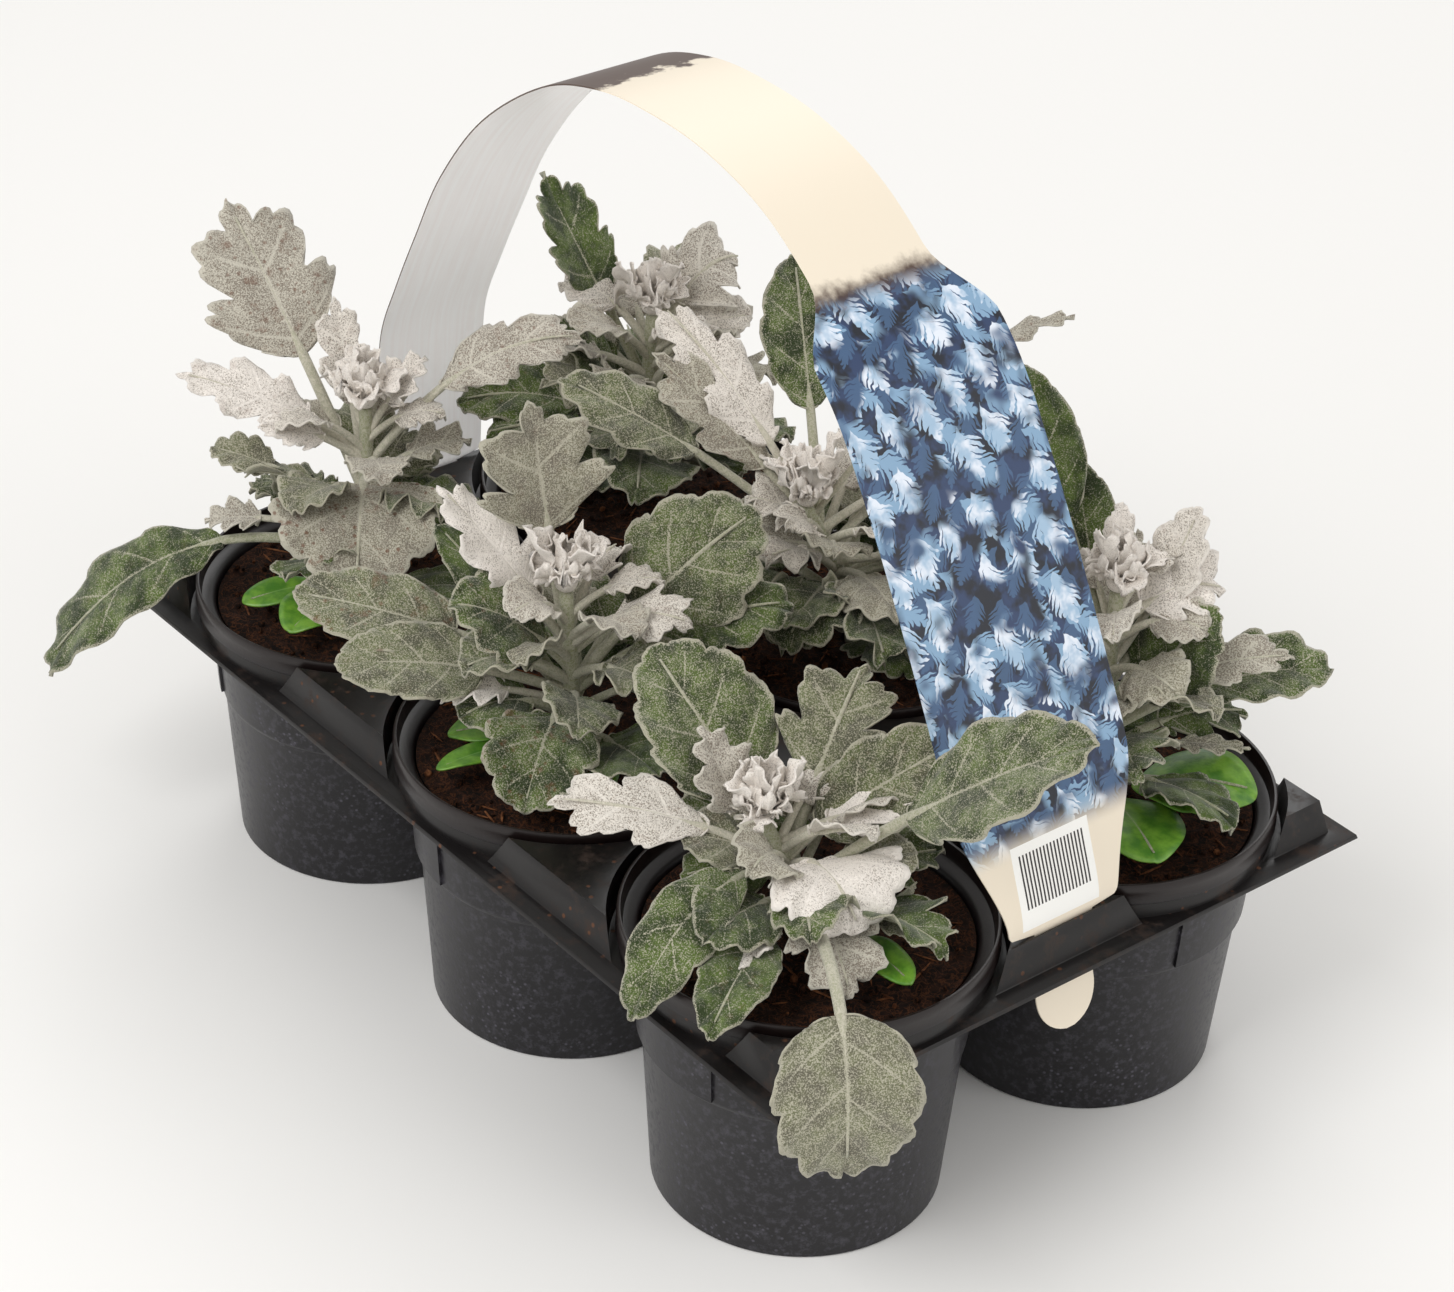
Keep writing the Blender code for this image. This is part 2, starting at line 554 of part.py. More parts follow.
def is_closed(piece):
    """True where each edge has two faces, and all faces hang together."""
    shape = bmesh.new()
    shape.from_mesh(piece.data)
    closed = all(len(edge.link_faces) == 2 and edge.is_contiguous for edge in shape.edges)
    reached, front = set(), [shape.verts[:][0]]
    while front:
        vert = front.pop()
        if vert not in reached:
            reached.add(vert)
            front.extend(edge.other_vert(vert) for edge in vert.link_edges)
    whole = closed and len(reached) == len(shape.verts)
    shape.free()
    return whole


def fuse(core, parts, mat, collection):
    """The core and all objects of the collection parts, joined in one closed body."""
    name = core.name
    for solver, weld in (("EXACT", 0.00002), ("EXACT", 0.000001), ("MANIFOLD", 0.000001)):
        trial = add_object(f"{name}_trial", core.data.copy(), None, collection)
        boolean(trial, "UNION", parts, solver=solver)
        whole = baked(trial, f"{name}_whole", mat, collection, weld=weld)
        if is_closed(whole):
            break
        bpy.data.objects.remove(whole, do_unlink=True)
    else:
        raise RuntimeError(f"{name} does not fuse in one closed body")
    for part in [core, *parts.objects]:
        bpy.data.objects.remove(part, do_unlink=True)
    whole.name = name
    return whole


def make_plant(number, x, y, mat, collection, cutters):
    plant = PLANTS[number - 1]
    stem = make_stem(f"plant_{number}", plant, mat, collection)
    leaves = bpy.data.collections.new(f"leaves_{number}")
    cutters.children.link(leaves)
    for i, row in enumerate(plant["leaves"]):
        make_leaf(f"leaf_{number}_{i}", stem_point(plant, row[2] * MM), row, leaves)
    whole = fuse(stem, leaves, mat, collection)
    whole.location = (x, y, 0.0)
    return whole


def make_crown(number, x, y, mat, collection, cutters):
    """The white young leaves round the bud, which sit on the end of the stem."""
    plant = PLANTS[number - 1]
    foot = stem_point(plant, plant["top"] * MM)
    foot.z += GAP + BUD_RADIUS
    shape = bmesh.new()
    bmesh.ops.create_uvsphere(shape, u_segments=6, v_segments=4, radius=BUD_RADIUS)
    bmesh.ops.translate(shape, verts=shape.verts, vec=foot)
    mesh = bpy.data.meshes.new(f"crown_{number}")
    shape.to_mesh(mesh)
    shape.free()
    bud = add_object(f"crown_{number}", mesh, mat, collection)
    leaves = bpy.data.collections.new(f"young_{number}")
    cutters.children.link(leaves)
    for i, (heading, reach, height, width) in enumerate(CROWN):
        turn = heading + CROWN_TURN * number
        low = foot.z / MM
        row = ("young", turn, low, reach, low + height, width, 1, 0.25, 0, 0.9)
        leaf = make_leaf(f"young_{number}_{i}", Vector((0.0, 0.0, foot.z)), row, leaves)
        leaf.data.transform(Matrix.Translation((foot.x, foot.y, 0.0)))
    whole = fuse(bud, leaves, mat, collection)
    whole.location = (x, y, 0.0)
    return whole


def main():
    for old in list(bpy.data.objects):
        bpy.data.objects.remove(old, do_unlink=True)
    scene = bpy.context.scene
    parts = bpy.data.collections.new("dusty_miller_tray")
    cutters = bpy.data.collections.new("cutters")
    scene.collection.children.link(parts)
    scene.collection.children.link(cutters)
    black = material("black polypropylene", (0.018, 0.016, 0.017), 0.45)
    peat = material("peat soil", (0.035, 0.018, 0.012), 0.95)
    print_strip = material("printed strip", (0.80, 0.74, 0.62), 0.4)
    felt = material("felted leaf", (0.16, 0.20, 0.10), 0.85)
    wool = material("white wool leaf", (0.68, 0.64, 0.60), 0.9)
    grid = bpy.data.objects.new("grid", None)
    parts.objects.link(grid)
    grid.location = (GRID_X, GRID_Y, 0.0)
    pieces = [make_tray(black, parts, cutters), make_handle(print_strip, parts)]
    for i, (x, y) in enumerate(pot_places()):
        number = i + 1
        pieces.append(make_pot(number, x, y, black, parts, cutters))
        pieces.append(make_soil(number, x, y, peat, parts, cutters))
        pieces.append(make_plant(number, x, y, felt, parts, cutters))
        pieces.append(make_crown(number, x, y, wool, parts, cutters))
    for piece in pieces:
        piece.parent = grid
        piece.data.polygons.foreach_set("use_smooth", [False] * len(piece.data.polygons))
    for group in list(cutters.children):
        bpy.data.collections.remove(group)


main()
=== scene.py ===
# Six potted dusty millers in a carry tray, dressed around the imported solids.
import math
import random
from collections import namedtuple
from functools import partial

import bpy
import numpy as np
from mathutils import Matrix, Vector, noise


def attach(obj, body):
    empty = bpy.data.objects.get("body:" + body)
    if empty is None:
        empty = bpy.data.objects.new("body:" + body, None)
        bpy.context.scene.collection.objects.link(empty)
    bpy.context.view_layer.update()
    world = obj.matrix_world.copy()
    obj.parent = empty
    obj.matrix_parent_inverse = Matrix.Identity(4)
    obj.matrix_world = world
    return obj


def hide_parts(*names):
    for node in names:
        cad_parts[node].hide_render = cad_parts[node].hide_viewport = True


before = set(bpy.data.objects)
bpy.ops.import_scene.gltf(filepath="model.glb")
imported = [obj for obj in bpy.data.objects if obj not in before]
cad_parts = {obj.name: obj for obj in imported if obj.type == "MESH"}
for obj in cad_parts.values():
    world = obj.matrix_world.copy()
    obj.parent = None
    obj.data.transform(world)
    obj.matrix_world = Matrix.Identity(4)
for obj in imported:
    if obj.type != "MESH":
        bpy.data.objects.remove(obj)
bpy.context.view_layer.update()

mm = 0.001
gridMiddle = Vector((-5.7 * mm, 13.7 * mm, 0.0))      # the middle of the six pots, from the origin
pitch = 110 * mm
potPlaces = [gridMiddle + Vector((x * pitch, y * pitch, 0.0))
             for x, y in ((-1, -0.5), (0, -0.5), (1, -0.5), (1, 0.5), (0, 0.5), (-1, 0.5))]
goldenTurn = 137.5              # degrees from each leaf of a spiral to the next


def linearColour(hexText):
    parts = [int(hexText[i:i + 2], 16) / 255 for i in (1, 3, 5)]
    return tuple(c / 12.92 if c <= 0.04045 else ((c + 0.055) / 1.055) ** 2.4 for c in parts) + (1.0,)


# Gives a socket a value, a hex colour or another node's output
def fill(socket, value):
    if isinstance(value, bpy.types.NodeSocket):
        socket.id_data.links.new(value, socket)
    else:
        socket.default_value = linearColour(value) if isinstance(value, str) else value


# Adds any node to a tree and gives its first output, or the one that is named. A kind all in capitals is
# an operation of the Math node. Values go to the inputs in use by their order, such as place, scale,
# detail and roughness for a noise. Names with a capital are inputs, the others are settings.
def addNode(tree, kind, *values, output=None, **named):
    if kind.isupper():
        kind, named = "Math", dict(named, operation=kind)
    node = tree.nodes.new("ShaderNode" + kind)
    usual = {"MapRange": {"interpolation_type": "SMOOTHSTEP"}, "Mix": {"data_type": "RGBA"}}
    for key, value in {**usual.get(kind, {}), **named}.items():
        if key.islower():
            setattr(node, key, value)
    for socket, value in zip([socket for socket in node.inputs if socket.enabled], values):
        fill(socket, value)
    for key, value in named.items():
        if not key.islower():
            fill(node.inputs[key], value)
    return node.outputs[output] if output else next(out for out in node.outputs if out.enabled)


def startMaterial(name):
    material = bpy.data.materials.new(name)
    material.use_nodes = True
    return material, partial(addNode, material.node_tree)


# Fills the shader's inputs, whose names are written with _ for each space. A relief is its height, how far
# it stands out and its strength.
def finishMaterial(material, colour, relief=None, **inputs):
    shader = material.node_tree.nodes["Principled BSDF"]
    if relief:
        inputs["Normal"] = addNode(material.node_tree, "Bump", Height=relief[0], Distance=relief[1],
                                   Strength=relief[2])
    for key, value in dict(inputs, Base_Color=colour).items():
        fill(shader.inputs[key.replace("_", " ")], value)
    return material


# Fine curved hairs: thin lines along the middle level of two noises. The real ones are finer than a
# pixel, so they are drawn as coarse as they need to be to show.
def hairs(add, spot, size, width):
    lines = []
    for scale, shift in ((1.0, 0.0), (1.55, 7.3)):
        level = add("TexNoise", add("Mapping", spot, (shift, shift, 0)), 1 / (size * scale), 2.0, 0.5,
                    Distortion=0.6)
        lines.append(add("MapRange", add("ABSOLUTE", add("SUBTRACT", level, 0.5)), 0.0, width, 1.0, 0.0))
    return add("MAXIMUM", *lines)


# Leaf blade: living tissue under a felt of short white hairs, so no gloss, and a painted pale edge highlight
leafFinish = dict(tissueDark="#2b3818", tissue="#56692c", woollyTissue="#8b8175", felt="#b5b19d",
                  wool="#f3ece4", rust="#6d3f26", hair=1.3 * mm, tuft=0.42 * mm, patch=8 * mm,
                  speck=3.6 * mm, stain=5 * mm)


def leafMaterial(name, under):
    f = leafFinish
    material, add = startMaterial(name)
    spot = add("TexCoord", output="Object")
    wool = add("Attribute", attribute_name="wool", output="Fac")
    rust = add("Attribute", attribute_name="rust", output="Fac")
    veinCount, outward = add("SeparateXYZ", add("UVMap")).node.outputs[:2]
    fromVein = add("ABSOLUTE", add("SUBTRACT", add("FRACT", veinCount), 0.5))
    sideVein = add("MULTIPLY", add("MapRange", fromVein, 0.0, 0.05, 1.0, 0.0),
                   add("MapRange", outward, 0.55, 0.95, 0.8, 0.0))
    vein = add("MAXIMUM", sideVein, add("MapRange", outward, 0.0, 0.055, 1.0, 0.0))
    # Painted edge highlight: the blade's colour turns whiter over the last tenth out to its margin
    edge = add("MapRange", outward, 0.90, 0.99)
    hair = hairs(add, spot, f["hair"], 0.05)
    patches = add("TexNoise", spot, 1 / f["patch"], 3.0, 0.6)
    tufts = add("TexNoise", spot, 1 / f["tuft"], 2.0, 0.6)
    tissue = add("Mix", add("MapRange", patches, 0.35, 0.65), f["tissueDark"], f["tissue"])
    tissue = add("Mix", add("MapRange", wool, 0.3, 0.65), tissue, f["woollyTissue"])
    # The higher the wool value, the more of the blade lies above the level where its felt is white
    level = add("MULTIPLY_ADD", add("SUBTRACT", wool, 0.98), 1.25, add("MapRange", tufts, 0.34, 0.66))
    level = add("MULTIPLY_ADD", add("SUBTRACT", patches, 0.5), 0.9, level)
    # Hairs and veins are the felt's own pattern; the edge term adds the painted edge highlight
    for part, share in ((hair, 0.30), (vein, 0.75), (edge, 0.85)):
        level = add("MULTIPLY_ADD", part, share, level)
    cover = add("MapRange", level, -0.32, 0.58)
    if under:
        cover = add("MULTIPLY_ADD", cover, 0.45, 0.5, use_clamp=True)
    colour = add("Mix", cover, tissue, add("Mix", add("MapRange", wool, 0.4, 0.95), f["felt"], f["wool"]))
    specks = add("MapRange", add("TexVoronoi", spot, 1 / f["speck"]), 0.10, 0.24, 1.0, 0.0)
    stain = add("MapRange", add("TexNoise", spot, 1 / f["stain"], 4.0, 0.6), 0.56, 0.72)
    colour = add("Mix", add("MULTIPLY", add("MAXIMUM", specks, stain), rust), colour, f["rust"])
    height = add("MULTIPLY_ADD", hair, 0.5, add("MULTIPLY", tufts, 0.6))
    height = add("MULTIPLY_ADD", vein, 0.8 if under else -0.5, height)
    return finishMaterial(material, colour, (height, 0.25 * mm, 0.8), Roughness=0.82,
                          Sheen_Weight=0.25, Sheen_Roughness=0.5, Specular_IOR_Level=0.25)


# Petiole and stem: the same felt, drawn out lengthwise over a pale green stalk
def stalkMaterial():
    material, add = startMaterial("feltedStalk")
    streaks = add("TexNoise", add("Mapping", add("UVMap"), Scale=(22, 3, 1)), 1.0, 3.0, 0.6)
    hair = hairs(add, add("TexCoord", output="Object"), 1.1 * mm, 0.07)
    cover = add("MULTIPLY_ADD", add("Attribute", attribute_name="wool", output="Fac"), 0.7,
                add("MULTIPLY_ADD", hair, 0.35, 0.05), use_clamp=True)
    colour = add("Mix", cover, add("Mix", streaks, "#5f6b3e", "#8a9063"), "#d3cdbd")
    return finishMaterial(material, colour, (add("ADD", hair, streaks), 0.2 * mm, 0.6), Roughness=0.8,
                          Sheen_Weight=0.3, Sheen_Roughness=0.5, Specular_IOR_Level=0.25)


# Seed leaf: smooth waxy tissue with hardly a hair, so it keeps a soft gloss
def seedLeafMaterial():
    material, add = startMaterial("waxySeedLeaf")
    spot = add("TexCoord", output="Object")
    midVein = add("MapRange", add("SeparateXYZ", add("UVMap"), output="Y"), 0.0, 0.08, 1.0, 0.0)
    patches = add("TexNoise", spot, 1 / (6 * mm), 3.0, 0.6)
    green = add("Mix", add("MapRange", patches, 0.3, 0.7), "#447a20", "#7aa93a")
    pores = add("TexNoise", spot, 1 / (0.8 * mm), 3.0, 0.55)
    colour = add("Mix", add("MULTIPLY", midVein, 0.4), green, "#9cc077")
    return finishMaterial(material, colour, (add("ADD", patches, pores), 0.3 * mm, 0.35), Roughness=0.36,
                          Coat_Weight=0.15, Coat_Roughness=0.3, Subsurface_Weight=0.08,
                          Subsurface_Scale=2 * mm)


# Polypropylene pot, injection moulded: satin black that shows dust and dried water
def potMaterial():
    material, add = startMaterial("mouldedPolypropylene")
    spot = add("TexCoord", output="Object")
    height = add("SeparateXYZ", spot, output="Z")
    dust = add("MapRange", add("TexNoise", spot, 1 / (2.5 * mm), 5.0, 0.68), 0.46, 0.72)
    drops = add("MULTIPLY", add("MapRange", add("TexVoronoi", spot, 1 / (2.2 * mm)), 0.12, 0.30, 1.0, 0.0),
                add("MapRange", add("TexNoise", spot, 1 / (22 * mm), 2.0, 0.55), 0.42, 0.62))
    film = add("MULTIPLY", add("MAXIMUM", add("MULTIPLY", dust, 0.55), drops),
               add("MapRange", height, 85 * mm, 75 * mm))
    plastic = add("Mix", add("MapRange", height, 82 * mm, 88 * mm), "#141216", "#1c1413")
    dimples = add("TexNoise", spot, 1 / (1.6 * mm), 3.0, 0.55)
    colour = add("Mix", add("MULTIPLY", film, 0.5), plastic, "#6d6b76")
    return finishMaterial(material, colour, (dimples, 0.12 * mm, 0.35), Specular_IOR_Level=0.42,
                          Roughness=add("MULTIPLY_ADD", film, 0.35, 0.34))


# Polystyrene sheet, vacuum formed: softer gloss than the pot, with peat dust in its hollows
def trayMaterial():
    material, add = startMaterial("formedPolystyrene")
    spot = add("TexCoord", output="Object")
    dust = add("MapRange", add("TexNoise", spot, 1 / (9 * mm), 6.0, 0.7), 0.50, 0.74)
    crumbs = add("MULTIPLY", add("MapRange", add("TexVoronoi", spot, 1 / (4.5 * mm)), 0.10, 0.20, 1.0, 0.0),
                 add("MapRange", add("TexNoise", spot, 1 / (30 * mm), 2.0, 0.55), 0.44, 0.56))
    colour = add("Mix", add("MULTIPLY", dust, 0.45), "#131010", "#4c382c")
    height = add("MULTIPLY_ADD", crumbs, 0.4, add("TexNoise", spot, 1 / (12 * mm), 3.0, 0.55))
    return finishMaterial(material, add("Mix", crumbs, colour, "#5b3a26"), (height, 0.35 * mm, 0.4),
                          Roughness=add("MULTIPLY_ADD", add("MAXIMUM", dust, crumbs), 0.35, 0.33),
                          Specular_IOR_Level=0.42)


# Peat: loose decomposed moss, near black when damp, with red-brown fibres
def peatMaterial(name, dark, light):
    material, add = startMaterial(name)
    spot = add("TexCoord", output="Object")
    clumps = add("TexNoise", spot, 1 / (3.5 * mm), 6.0, 0.7)
    colour = add("Mix", add("MapRange", clumps, 0.38, 0.66), dark, light)
    colour = add("Mix", add("MULTIPLY", hairs(add, spot, 2.4 * mm, 0.03), 0.35), colour, "#7a4a2c")
    return finishMaterial(material, colour, (clumps, 1.2 * mm, 0.9), Roughness=0.95,
                          Specular_IOR_Level=0.2)


# Printed polypropylene strip: cream ground, a dark field of pale feathered sprigs, half-gloss varnish.
# Halves are along and across the strip, in mm.
printDesign = dict(ground="#efe3cf", night="#161a26", nightPale="#2c3f63", farSprig="#466488",
                   middleSprig="#86a8c6", sprig="#a3bfd8", sprigPale="#e6edf8", earth="#4c372c",
                   panel="#fbfaf6", bars="#241f20", panelHalves=(12.5, 14.5), barsHalves=(8.0, 12.0),
                   barPitch=1.3)


def sprigs(add, place, cellWide, cellHigh, turn, shift):
    onward, sideways = add("SeparateXYZ", add("Mapping", place, shift, (0, 0, turn))).node.outputs[:2]
    row = add("DIVIDE", onward, cellHigh)
    along = add("FRACT", row)
    offset = add("MULTIPLY", add("MODULO", add("ABSOLUTE", add("FLOOR", row)), 2.0), 0.5)
    across = add("FRACT", add("ADD", add("DIVIDE", sideways, cellWide), offset))
    side = add("ABSOLUTE", add("SUBTRACT", across, 0.5))
    swept = add("MULTIPLY_ADD", side, -0.9, along)
    reach = add("MULTIPLY", add("SINE", add("MULTIPLY", along, math.pi)), 0.46)
    wave = add("ABSOLUTE", add("SINE", add("MULTIPLY", swept, math.pi * 6)))
    limb = add("MULTIPLY", reach, add("MULTIPLY_ADD", wave, 0.75, 0.25))
    return add("MapRange", add("SUBTRACT", limb, side), -0.02, 0.03)


def printMaterial():
    d = printDesign
    apex, field, fieldEnd, panelAt = (stripLengths[key] for key in ("apex", "field", "fieldEnd", "panel"))
    material, add = startMaterial("printedStrip")
    place = add("UVMap")                                # millimetres along and across the strip
    along, across = add("SeparateXYZ", place).node.outputs[:2]
    ragged = add("Mapping", place, Scale=(0.12, 0.12, 1))
    torn = add("MULTIPLY", add("SUBTRACT", add("TexNoise", ragged, 1.0, 4.0, 0.6), 0.5), 26)
    inField = add("MULTIPLY", add("MapRange", add("MULTIPLY_ADD", torn, 0.5, along), field - 3, field + 4),
                  add("MapRange", along, fieldEnd - 5, fieldEnd + 5, 1.0, 0.0))
    bend = add("Mapping", place, Scale=(0.05, 0.05, 1))
    wobble = add("VectorMath", add("TexNoise", bend, 2.2, 3.0, output="Color"), 9.0, operation="SCALE")
    drawn = add("VectorMath", place, wobble, operation="ADD")
    far = sprigs(add, drawn, 9.0, 13.0, 0.5, (3, 5, 0))
    middle = sprigs(add, drawn, 10.5, 15.0, -0.9, (7, 1, 0))
    near = sprigs(add, drawn, 12.0, 17.0, -0.25, (11, 2, 0))
    shade = add("TexNoise", ragged, 1.0, 3.0, 0.6)
    below = add("MapRange", along, field + 1, field + 10)
    night = add("Mix", add("MapRange", shade, 0.4, 0.6), d["night"], d["nightPale"])
    gaps = add("MULTIPLY", add("MapRange", add("TexNoise", bend, 1.25, 2.0, 0.5), 0.42, 0.54), below)
    picture = add("Mix", add("MULTIPLY", far, add("MULTIPLY", below, 0.8)),
                  add("Mix", below, d["earth"], night), d["farSprig"])
    picture = add("Mix", add("MULTIPLY", middle, gaps), picture, d["middleSprig"])
    tone = add("Mix", add("MapRange", shade, 0.40, 0.62), d["sprig"], d["sprigPale"])
    picture = add("Mix", add("MULTIPLY", near, gaps), picture, tone)
    ground = add("Mix", add("MapRange", add("ADD", along, torn), apex - 2, apex + 2, 1.0, 0.0),
                 d["ground"], d["earth"])
    colour = add("Mix", inField, ground, picture)
    panel = add("MULTIPLY", add("COMPARE", along, panelAt, d["panelHalves"][0]),
                add("COMPARE", across, -1.0, d["panelHalves"][1]))
    bars = add("MULTIPLY", add("COMPARE", along, panelAt - 1.5, d["barsHalves"][0]),
               add("COMPARE", across, -1.0, d["barsHalves"][1]))
    comb = add("LESS_THAN", add("FRACT", add("DIVIDE", across, d["barPitch"])), 0.48)
    colour = add("Mix", panel, colour, d["panel"])
    colour = add("Mix", add("MULTIPLY", comb, bars), colour, d["bars"])
    waves = add("TexNoise", add("TexCoord", output="Object"), 1 / (14 * mm), 2.0, 0.55)
    return finishMaterial(material, colour, (waves, 0.5 * mm, 0.2), Roughness=0.45, Coat_Weight=0.1,
                          Coat_Roughness=0.3)


# The strip's back: the same polypropylene, unprinted, so light comes through and its drawn streaks show
def stripBackMaterial():
    material, add = startMaterial("unprintedStrip")
    streaks = add("TexNoise", add("Mapping", add("UVMap"), Scale=(0.02, 0.5, 1)), 1.0, 4.0, 0.6)
    colour = add("Mix", add("MapRange", streaks, 0.3, 0.7), "#f3e6e2", "#f9f0ed")
    return finishMaterial(material, colour, (streaks, 0.2 * mm, 0.2), Roughness=0.42, Coat_Weight=0.1,
                          Subsurface_Weight=0.9, Subsurface_Scale=4 * mm, Subsurface_Radius=(1, 1, 1))


def deselectAll():
    bpy.ops.object.select_all(action="DESELECT")


def select(*pieces):
    deselectAll()
    for piece in pieces:
        piece.select_set(True)
    bpy.context.view_layer.objects.active = pieces[0]


def setMode(mode):
    bpy.ops.object.mode_set(mode=mode)


# Adds a primitive while nothing else is selected
def added(primitive, name, **settings):
    deselectAll()
    primitive(**settings)
    bpy.context.object.name = name
    return bpy.context.object


def applyModifier(piece, kind, **settings):
    select(piece)
    modifier = piece.modifiers.new(kind.lower(), kind)
    for key, value in settings.items():
        setattr(modifier, key, value)
    bpy.ops.object.modifier_apply(modifier=modifier.name)


def applyPlace(*pieces):
    select(*pieces)
    bpy.ops.object.transform_apply(location=True, rotation=True, scale=True)


def joined(pieces, name):
    select(*pieces)
    bpy.ops.object.join()
    pieces[0].name = name
    pieces[0].data.name = name
    return pieces[0]


def copyOf(model):
    piece = model.copy()
    piece.data = model.data.copy()
    bpy.context.collection.objects.link(piece)
    return piece


def paint(piece, *materials):
    for material in materials:
        piece.data.materials.append(material)


def smooth(piece, degrees):
    select(piece)
    bpy.ops.object.shade_smooth_by_angle(angle=math.radians(degrees))


def setCoords(piece, coords):
    piece.data.vertices.foreach_set("co", np.ascontiguousarray(coords, dtype=np.float32).ravel())
    piece.data.update()


def getCoords(piece):
    flat = np.empty(len(piece.data.vertices) * 3, dtype=np.float32)
    piece.data.vertices.foreach_get("co", flat)
    return flat.reshape(-1, 3).astype(float)


def moveMesh(piece, shift):
    setCoords(piece, getCoords(piece) + np.array(shift))


def setUv(piece, across, along):
    loops = np.empty(len(piece.data.loops), dtype=np.int32)
    piece.data.loops.foreach_get("vertex_index", loops)
    flat = np.stack((across[loops], along[loops]), axis=1).astype(np.float32).ravel()
    piece.data.uv_layers[0].uv.foreach_set("vector", flat)


# One value for the whole piece, from 0 to 1, that a material reads by its name
def addValues(piece, **values):
    for name, value in values.items():
        layer = piece.data.attributes.new(name, "FLOAT", "POINT")
        layer.data.foreach_set("value", np.full(len(piece.data.vertices), value, dtype=np.float32))


def weld(piece, distance=0.002 * mm):
    select(piece)
    setMode("EDIT")
    bpy.ops.mesh.select_all(action="SELECT")
    bpy.ops.mesh.remove_doubles(threshold=distance)
    bpy.ops.mesh.delete_loose()
    bpy.ops.mesh.normals_make_consistent(inside=False)
    setMode("OBJECT")


# Rings drawn up one from another, each (radius, height) in mm, as a closed turned body
def turnedBody(name, rings, sides):
    piece = added(bpy.ops.mesh.primitive_circle_add, name, vertices=sides, radius=rings[0][0] * mm,
                  fill_type="NGON", location=(0, 0, rings[0][1] * mm))
    applyPlace(piece)
    setMode("EDIT")
    bpy.ops.mesh.select_mode(type="EDGE")
    bpy.ops.mesh.select_all(action="SELECT")
    for (radius, height), (nextRadius, nextHeight) in zip(rings, rings[1:]):
        bpy.ops.mesh.extrude_edges_move(
            TRANSFORM_OT_translate={"value": (0, 0, (nextHeight - height) * mm)})
        factor = nextRadius / radius
        bpy.ops.transform.resize(value=(factor, factor, 1), center_override=(0, 0, nextHeight * mm))
    bpy.ops.mesh.edge_face_add()
    bpy.ops.mesh.select_all(action="SELECT")
    bpy.ops.mesh.normals_make_consistent(inside=False)
    bpy.ops.mesh.select_mode(type="FACE")
    setMode("OBJECT")
    return piece


# Opens the piece in edit mode with only those faces selected that pass the test
def editFaces(piece, test):
    select(piece)
    setMode("EDIT")
    bpy.ops.mesh.select_mode(type="FACE")
    bpy.ops.mesh.select_all(action="DESELECT")
    setMode("OBJECT")
    for face in piece.data.polygons:
        face.select = test(face)
    setMode("EDIT")


print("materials")
leafTop = leafMaterial("feltedLeaf", False)
leafUnder = leafMaterial("feltedLeafUnder", True)
stalk = stalkMaterial()
seedLeaf = seedLeafMaterial()
potPlastic = potMaterial()
trayPlastic = trayMaterial()
peat = peatMaterial("dampPeat", "#110a07", "#2f1c14")
peatChip = peatMaterial("peatFibre", "#4a2a18", "#8a5a3a")


# Blade forms. Lobes are counted on each side below the end lobe; depth and teeth are shares of the
# half width; sweep is how far forward the side veins run; ruffle and quilt are in mm; curl is how far
# the tip and the sides may roll, as a share of the width.
leafForms = {
    "round": dict(lobes=5, depth=0.16, teeth=0.03, point=0.45, sweep=0.8, fold=12, ruffle=1.5, quilt=0.7,
                  early=0.85, full=0.50, curl=0.10),
    "spat": dict(lobes=5, depth=0.09, teeth=0.02, point=0.5, sweep=0.9, fold=14, ruffle=1.4, quilt=0.7,
                 early=0.95, full=0.62, curl=0.10),
    "lobed": dict(lobes=3, depth=0.44, teeth=0.16, point=0.8, sweep=0.7, fold=10, ruffle=2.0, quilt=0.6,
                  early=1.05, full=0.60, curl=0.14),
    "frond": dict(lobes=4, depth=0.42, teeth=0.12, point=0.6, sweep=0.8, fold=16, ruffle=2.6, quilt=0.6,
                  early=0.85, full=0.60, curl=0.18),
    "young": dict(lobes=2, depth=0.34, teeth=0.12, point=0.55, sweep=0.8, fold=30, ruffle=3.4, quilt=1.2,
                  early=1.00, full=0.45, curl=0.45),
    "plain": dict(lobes=2, depth=0.0, teeth=0.0, point=0.6, sweep=0.9, fold=8, ruffle=0.4, quilt=0.0,
                  early=0.95, full=0.55, curl=0.05),
}
# Lengths in mm; a grid is the steps along each side of a blade and from its midrib to its edge
leafMake = dict(blade=0.5, foot=0.3, large=30, soilTop=83.6, stemRadius=3.4, stemSunk=22.0, ribEnd=0.93,
                grids=dict(large=(54, 9), small=(38, 6), young=(22, 4)), stemSides=18, stalkSides=8)
innerDesign = dict(reach=(46, 24), rise=(12, 18), width=(31, 16), wool=(0.10, 0.80))

